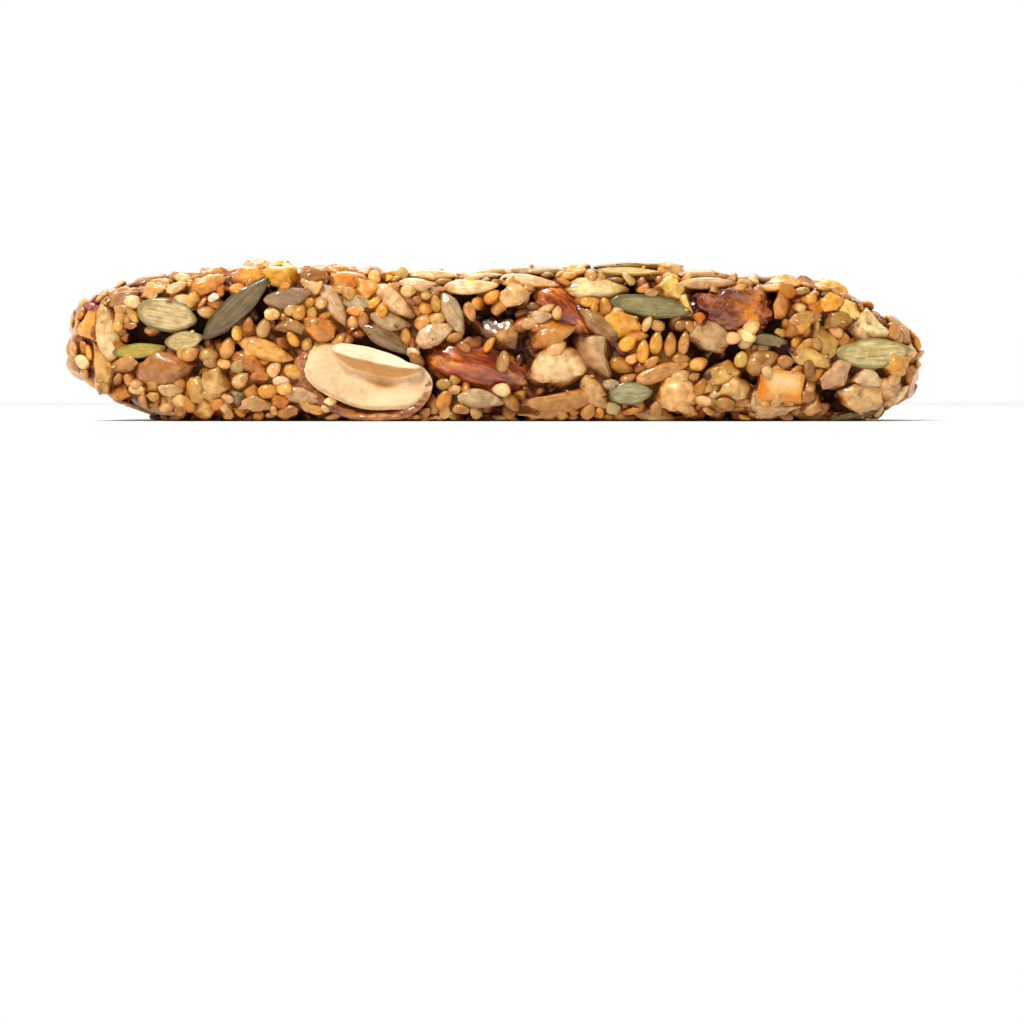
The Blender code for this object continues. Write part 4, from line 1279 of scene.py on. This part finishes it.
def almond_flesh_material():
    """Cut almond: the cream and tan given to its vertices, with their painted light and shade, mottled,
    and nearly dull.
    """
    nodes = material_nodes("almond_flesh")
    mottle = nodes.noise(260.0, 6.0)
    colour = nodes.shaded(nodes.tint()[0], mottle, (0.34, (0.86, 0.80, 0.72)), (0.60, (1.06, 1.06, 1.06)))
    stain = nodes.span(nodes.noise(420.0, 5.0), 0.0, 0.45, 0.60, 0.74)
    colour = nodes.mix(colour, (0.42, 0.20, 0.07), stain)
    normal = nodes.bump(nodes.noise(1300.0, 6.0), 0.5, 0.18)
    normal = nodes.bump(nodes.noise(300.0, 3.0), 0.3, 0.3, normal)
    return nodes.finish(colour, normal, nodes.span(nodes.noise(500.0), 0.45, 0.65), 0.15, 0.0)


def date_material():
    """Date flesh: wet and dark, with amber in patches, most of it to the right, partly its own tone and
    partly a painted glow of light through it; deepened with depth by syrup tint and painted shade.
    """
    nodes = material_nodes("date_flesh")
    stops = ((0.30, (0.11, 0.020, 0.007)), (0.52, (0.30, 0.075, 0.013)), (0.70, (0.76, 0.29, 0.03)))
    # Amber in patches and towards the right: partly the date's tone, partly a painted glow of light
    # through the flesh.
    to_right = nodes.span(nodes.along(nodes.coordinates(), "X"), -0.07, 0.20, 33.0 * MM, 42.0 * MM)
    colour = nodes.ramp(nodes.math("ADD", nodes.noise(330.0, 5.0), to_right), stops)
    normal = nodes.bump(nodes.noise(900.0, 3.0), 1.0, 0.7)
    return nodes.finish(nodes.syrup_and_shade(colour), normal, nodes.span(nodes.noise(700.0), 0.06, 0.24), 0.2, 1.0)


def syrup_material():
    """Syrup: dark amber near the outline, near black deep between the seeds, its colour darkened with
    depth as painted shade.
    """
    nodes = material_nodes("syrup")
    mottle = nodes.noise(500.0, 5.0)
    # Darker with depth: painted shade in the creases between the seeds.
    colour = nodes.ramp(nodes.shade_depth(), SYRUP_SHADE_STOPS)
    colour = nodes.shaded(colour, mottle, (0.3, (0.6, 0.52, 0.44)), (0.7, (1.2, 1.15, 1.05)))
    normal = nodes.bump(nodes.noise(1400.0, 5.0), 0.5, 0.2)
    return nodes.finish(colour, normal, nodes.span(nodes.noise(650.0), 0.3, 0.6), 0.0, 0.0, 0.12)


# The scene round the bar

FLOOR_REACH = 4.0
FLOOR_COLOUR = (0.93, 0.93, 0.93)

# Brightness of the white room in front of the bar and behind it.
ROOM_FRONT = 0.12
ROOM_BACK = 1.0

BAR_MIDDLE = Vector((0.0, 0.0, 12.0 * MM))
FRONT_LIGHT_PLACE = Vector((-0.18, -0.30, 0.38))
LENS = 65.7
CAMERA_PLACE = (2.65 * MM, -HALF_DEPTH - 275.0 * MM, 3.0 * MM)
CAMERA_PITCH = 3.4


def add_object(name, data):
    """Puts a new object with this mesh, light or camera in the scene."""
    made = bpy.data.objects.new(name, data)
    bpy.context.scene.collection.objects.link(made)
    return made


def stage_floor():
    work = bmesh.new()
    bmesh.ops.create_grid(work, x_segments=2, y_segments=2, size=FLOOR_REACH)
    mesh = bpy.data.meshes.new("floor")
    work.to_mesh(mesh)
    work.free()
    nodes = material_nodes("pale_floor")
    paint = {"Base Color": FLOOR_COLOUR, "Roughness": 0.9}
    nodes.fill(nodes.tree.nodes["Principled BSDF"], paint)
    mesh.materials.append(nodes.owner)
    floor = add_object("floor", mesh)


def studio_light(name, kind, towards, power, colour, **settings):
    """Adds a light that shines from a direction."""
    light = configured(bpy.data.lights.new(name, kind), energy=power, color=colour, **settings)
    lamp = add_object(name, light)
    lamp.rotation_euler = Vector(towards).to_track_quat("Z", "Y").to_euler()
    return lamp


def studio_world():
    """A white room, bright behind the bar and dimmer towards the front of it."""
    nodes = Nodes(bpy.data.worlds.new("studio"))
    towards_back = nodes.along(nodes.coordinates("Generated"), "Y")
    strength = nodes.span(towards_back, ROOM_FRONT, ROOM_BACK, -0.7, 0.6)
    nodes.fill(nodes.tree.nodes["Background"], {"Strength": strength, "Color": (1.0, 1.0, 1.0)})
    bpy.context.scene.world = nodes.owner


def studio():
    spread = math.radians(40.0)
    studio_light("back_light", "SUN", (-0.10, 0.55, 0.85), 1.5, (1.0, 0.97, 0.92), angle=spread)
    away = FRONT_LIGHT_PLACE - BAR_MIDDLE
    lamp = studio_light("front_light", "AREA", away, 2.4, (1.0, 0.945, 0.86), shape="DISK", size=0.10)
    lamp.location = FRONT_LIGHT_PLACE
    studio_world()
    bpy.context.scene.view_settings.view_transform = "Standard"


def camera():
    """Stands level with the base of the bar and looks a little down, so that the bar keeps the
    place in the frame that it has at the top of the stack."""
    data = configured(bpy.data.cameras.new("camera"), lens=LENS, clip_start=0.01)
    made = add_object("camera", data)
    made.location = CAMERA_PLACE
    made.rotation_euler = (math.radians(90.0 - CAMERA_PITCH), 0.0, 0.0)
    bpy.context.scene.camera = made


def dress(piece, material, slot, *nodes):
    piece.data.materials.clear()
    piece.data.materials.append(material)
    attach(piece, "root")
    if nodes:
        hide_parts(*nodes)


def place_pieces():
    discs, taken = [], []
    seen_pieces("front", FRONT_PIECES, FRONT_PROUD, discs, taken)
    seen_pieces("top", TOP_EDGE_PIECES, EDGE_PROUD, discs, taken)
    large_discs(discs, taken)
    discs += void_discs()
    spread_pieces(discs, taken)
    fill_pieces(discs)
    stamps = {kind: stamped(kind) for kind in TEMPLATES if kind != "crumb"}
    scatter_crumbs(stamps)
    stamps["crumb"] = stamped("crumb")
    return stamps


def dress_seeds(stamps):
    looks = {
        "sesame": seed_material("sesame", tip=0.7, subsurface=0.3),
        "granule": seed_material("granule", 1900.0, coat=0.45),
        "crumb": seed_material("crumb", 3000.0, coat=0.3),
        "sunflower": seed_material("sunflower", fibre=0.45, subsurface=0.35, coat=0.7),
        "pumpkin": pumpkin_material(),
        "chunk": seed_material("chunk", 1500.0, subsurface=0.4, coat=0.65),
        "nut": seed_material("nut", 1500.0, subsurface=0.4, coat=0.5),
        "cube": fruit_material(),
    }
    for kind, stamp in stamps.items():
        # The inner flank of each piece, towards the bar, which is darkened as painted shade.
        flank = smooth_step((0.35 - 2.0 * stamp["local"][:, 2]) / 1.1)
        piece = joined_mesh(kind, **stamp, flank=flank)
        if kind in ("chunk", "nut", "granule", "cube"):
            piece.data.set_sharp_from_angle(angle=SHARP_EDGE)
        dress(piece, looks[kind], "bound_seeds")


def dress_almonds():
    skin = almond_skin_material("almond_skin", SKIN_AND_HIGHLIGHT_STOPS)
    almonds = [almond_mesh(row, salt) for salt, row in enumerate(ALMONDS.values())]
    verts, faces, local = gathered(almonds)
    dress(joined_mesh("almonds", verts, faces, None, local), skin, "almond_skin", *ALMONDS)
    thin_skin = almond_skin_material("thin_almond_skin", THIN_SKIN_STOPS)
    verts, faces, local = cut_almond_skin()
    dress(joined_mesh("cut_almond_skin", verts, faces, None, local), thin_skin, "almond_skin")
    flesh = joined_mesh("cut_almond_flesh", *cut_almond_flesh())
    dress(flesh, almond_flesh_material(), "almond_flesh", "almond_cut")


def dress_dates():
    dates = [date_mesh(row, 30 + salt) for salt, row in enumerate(DATES.values())]
    verts, faces, local = gathered(dates)
    dress(joined_mesh("dates", verts, faces, None, local), date_material(), "date_flesh", *DATES)


def main():
    stamps = place_pieces()
    dress(syrup_mesh(list(stamps.values())), syrup_material(), "bound_seeds", "bar")
    dress_seeds(stamps)
    dress_almonds()
    dress_dates()
    stage_floor()
    studio()
    camera()


main()
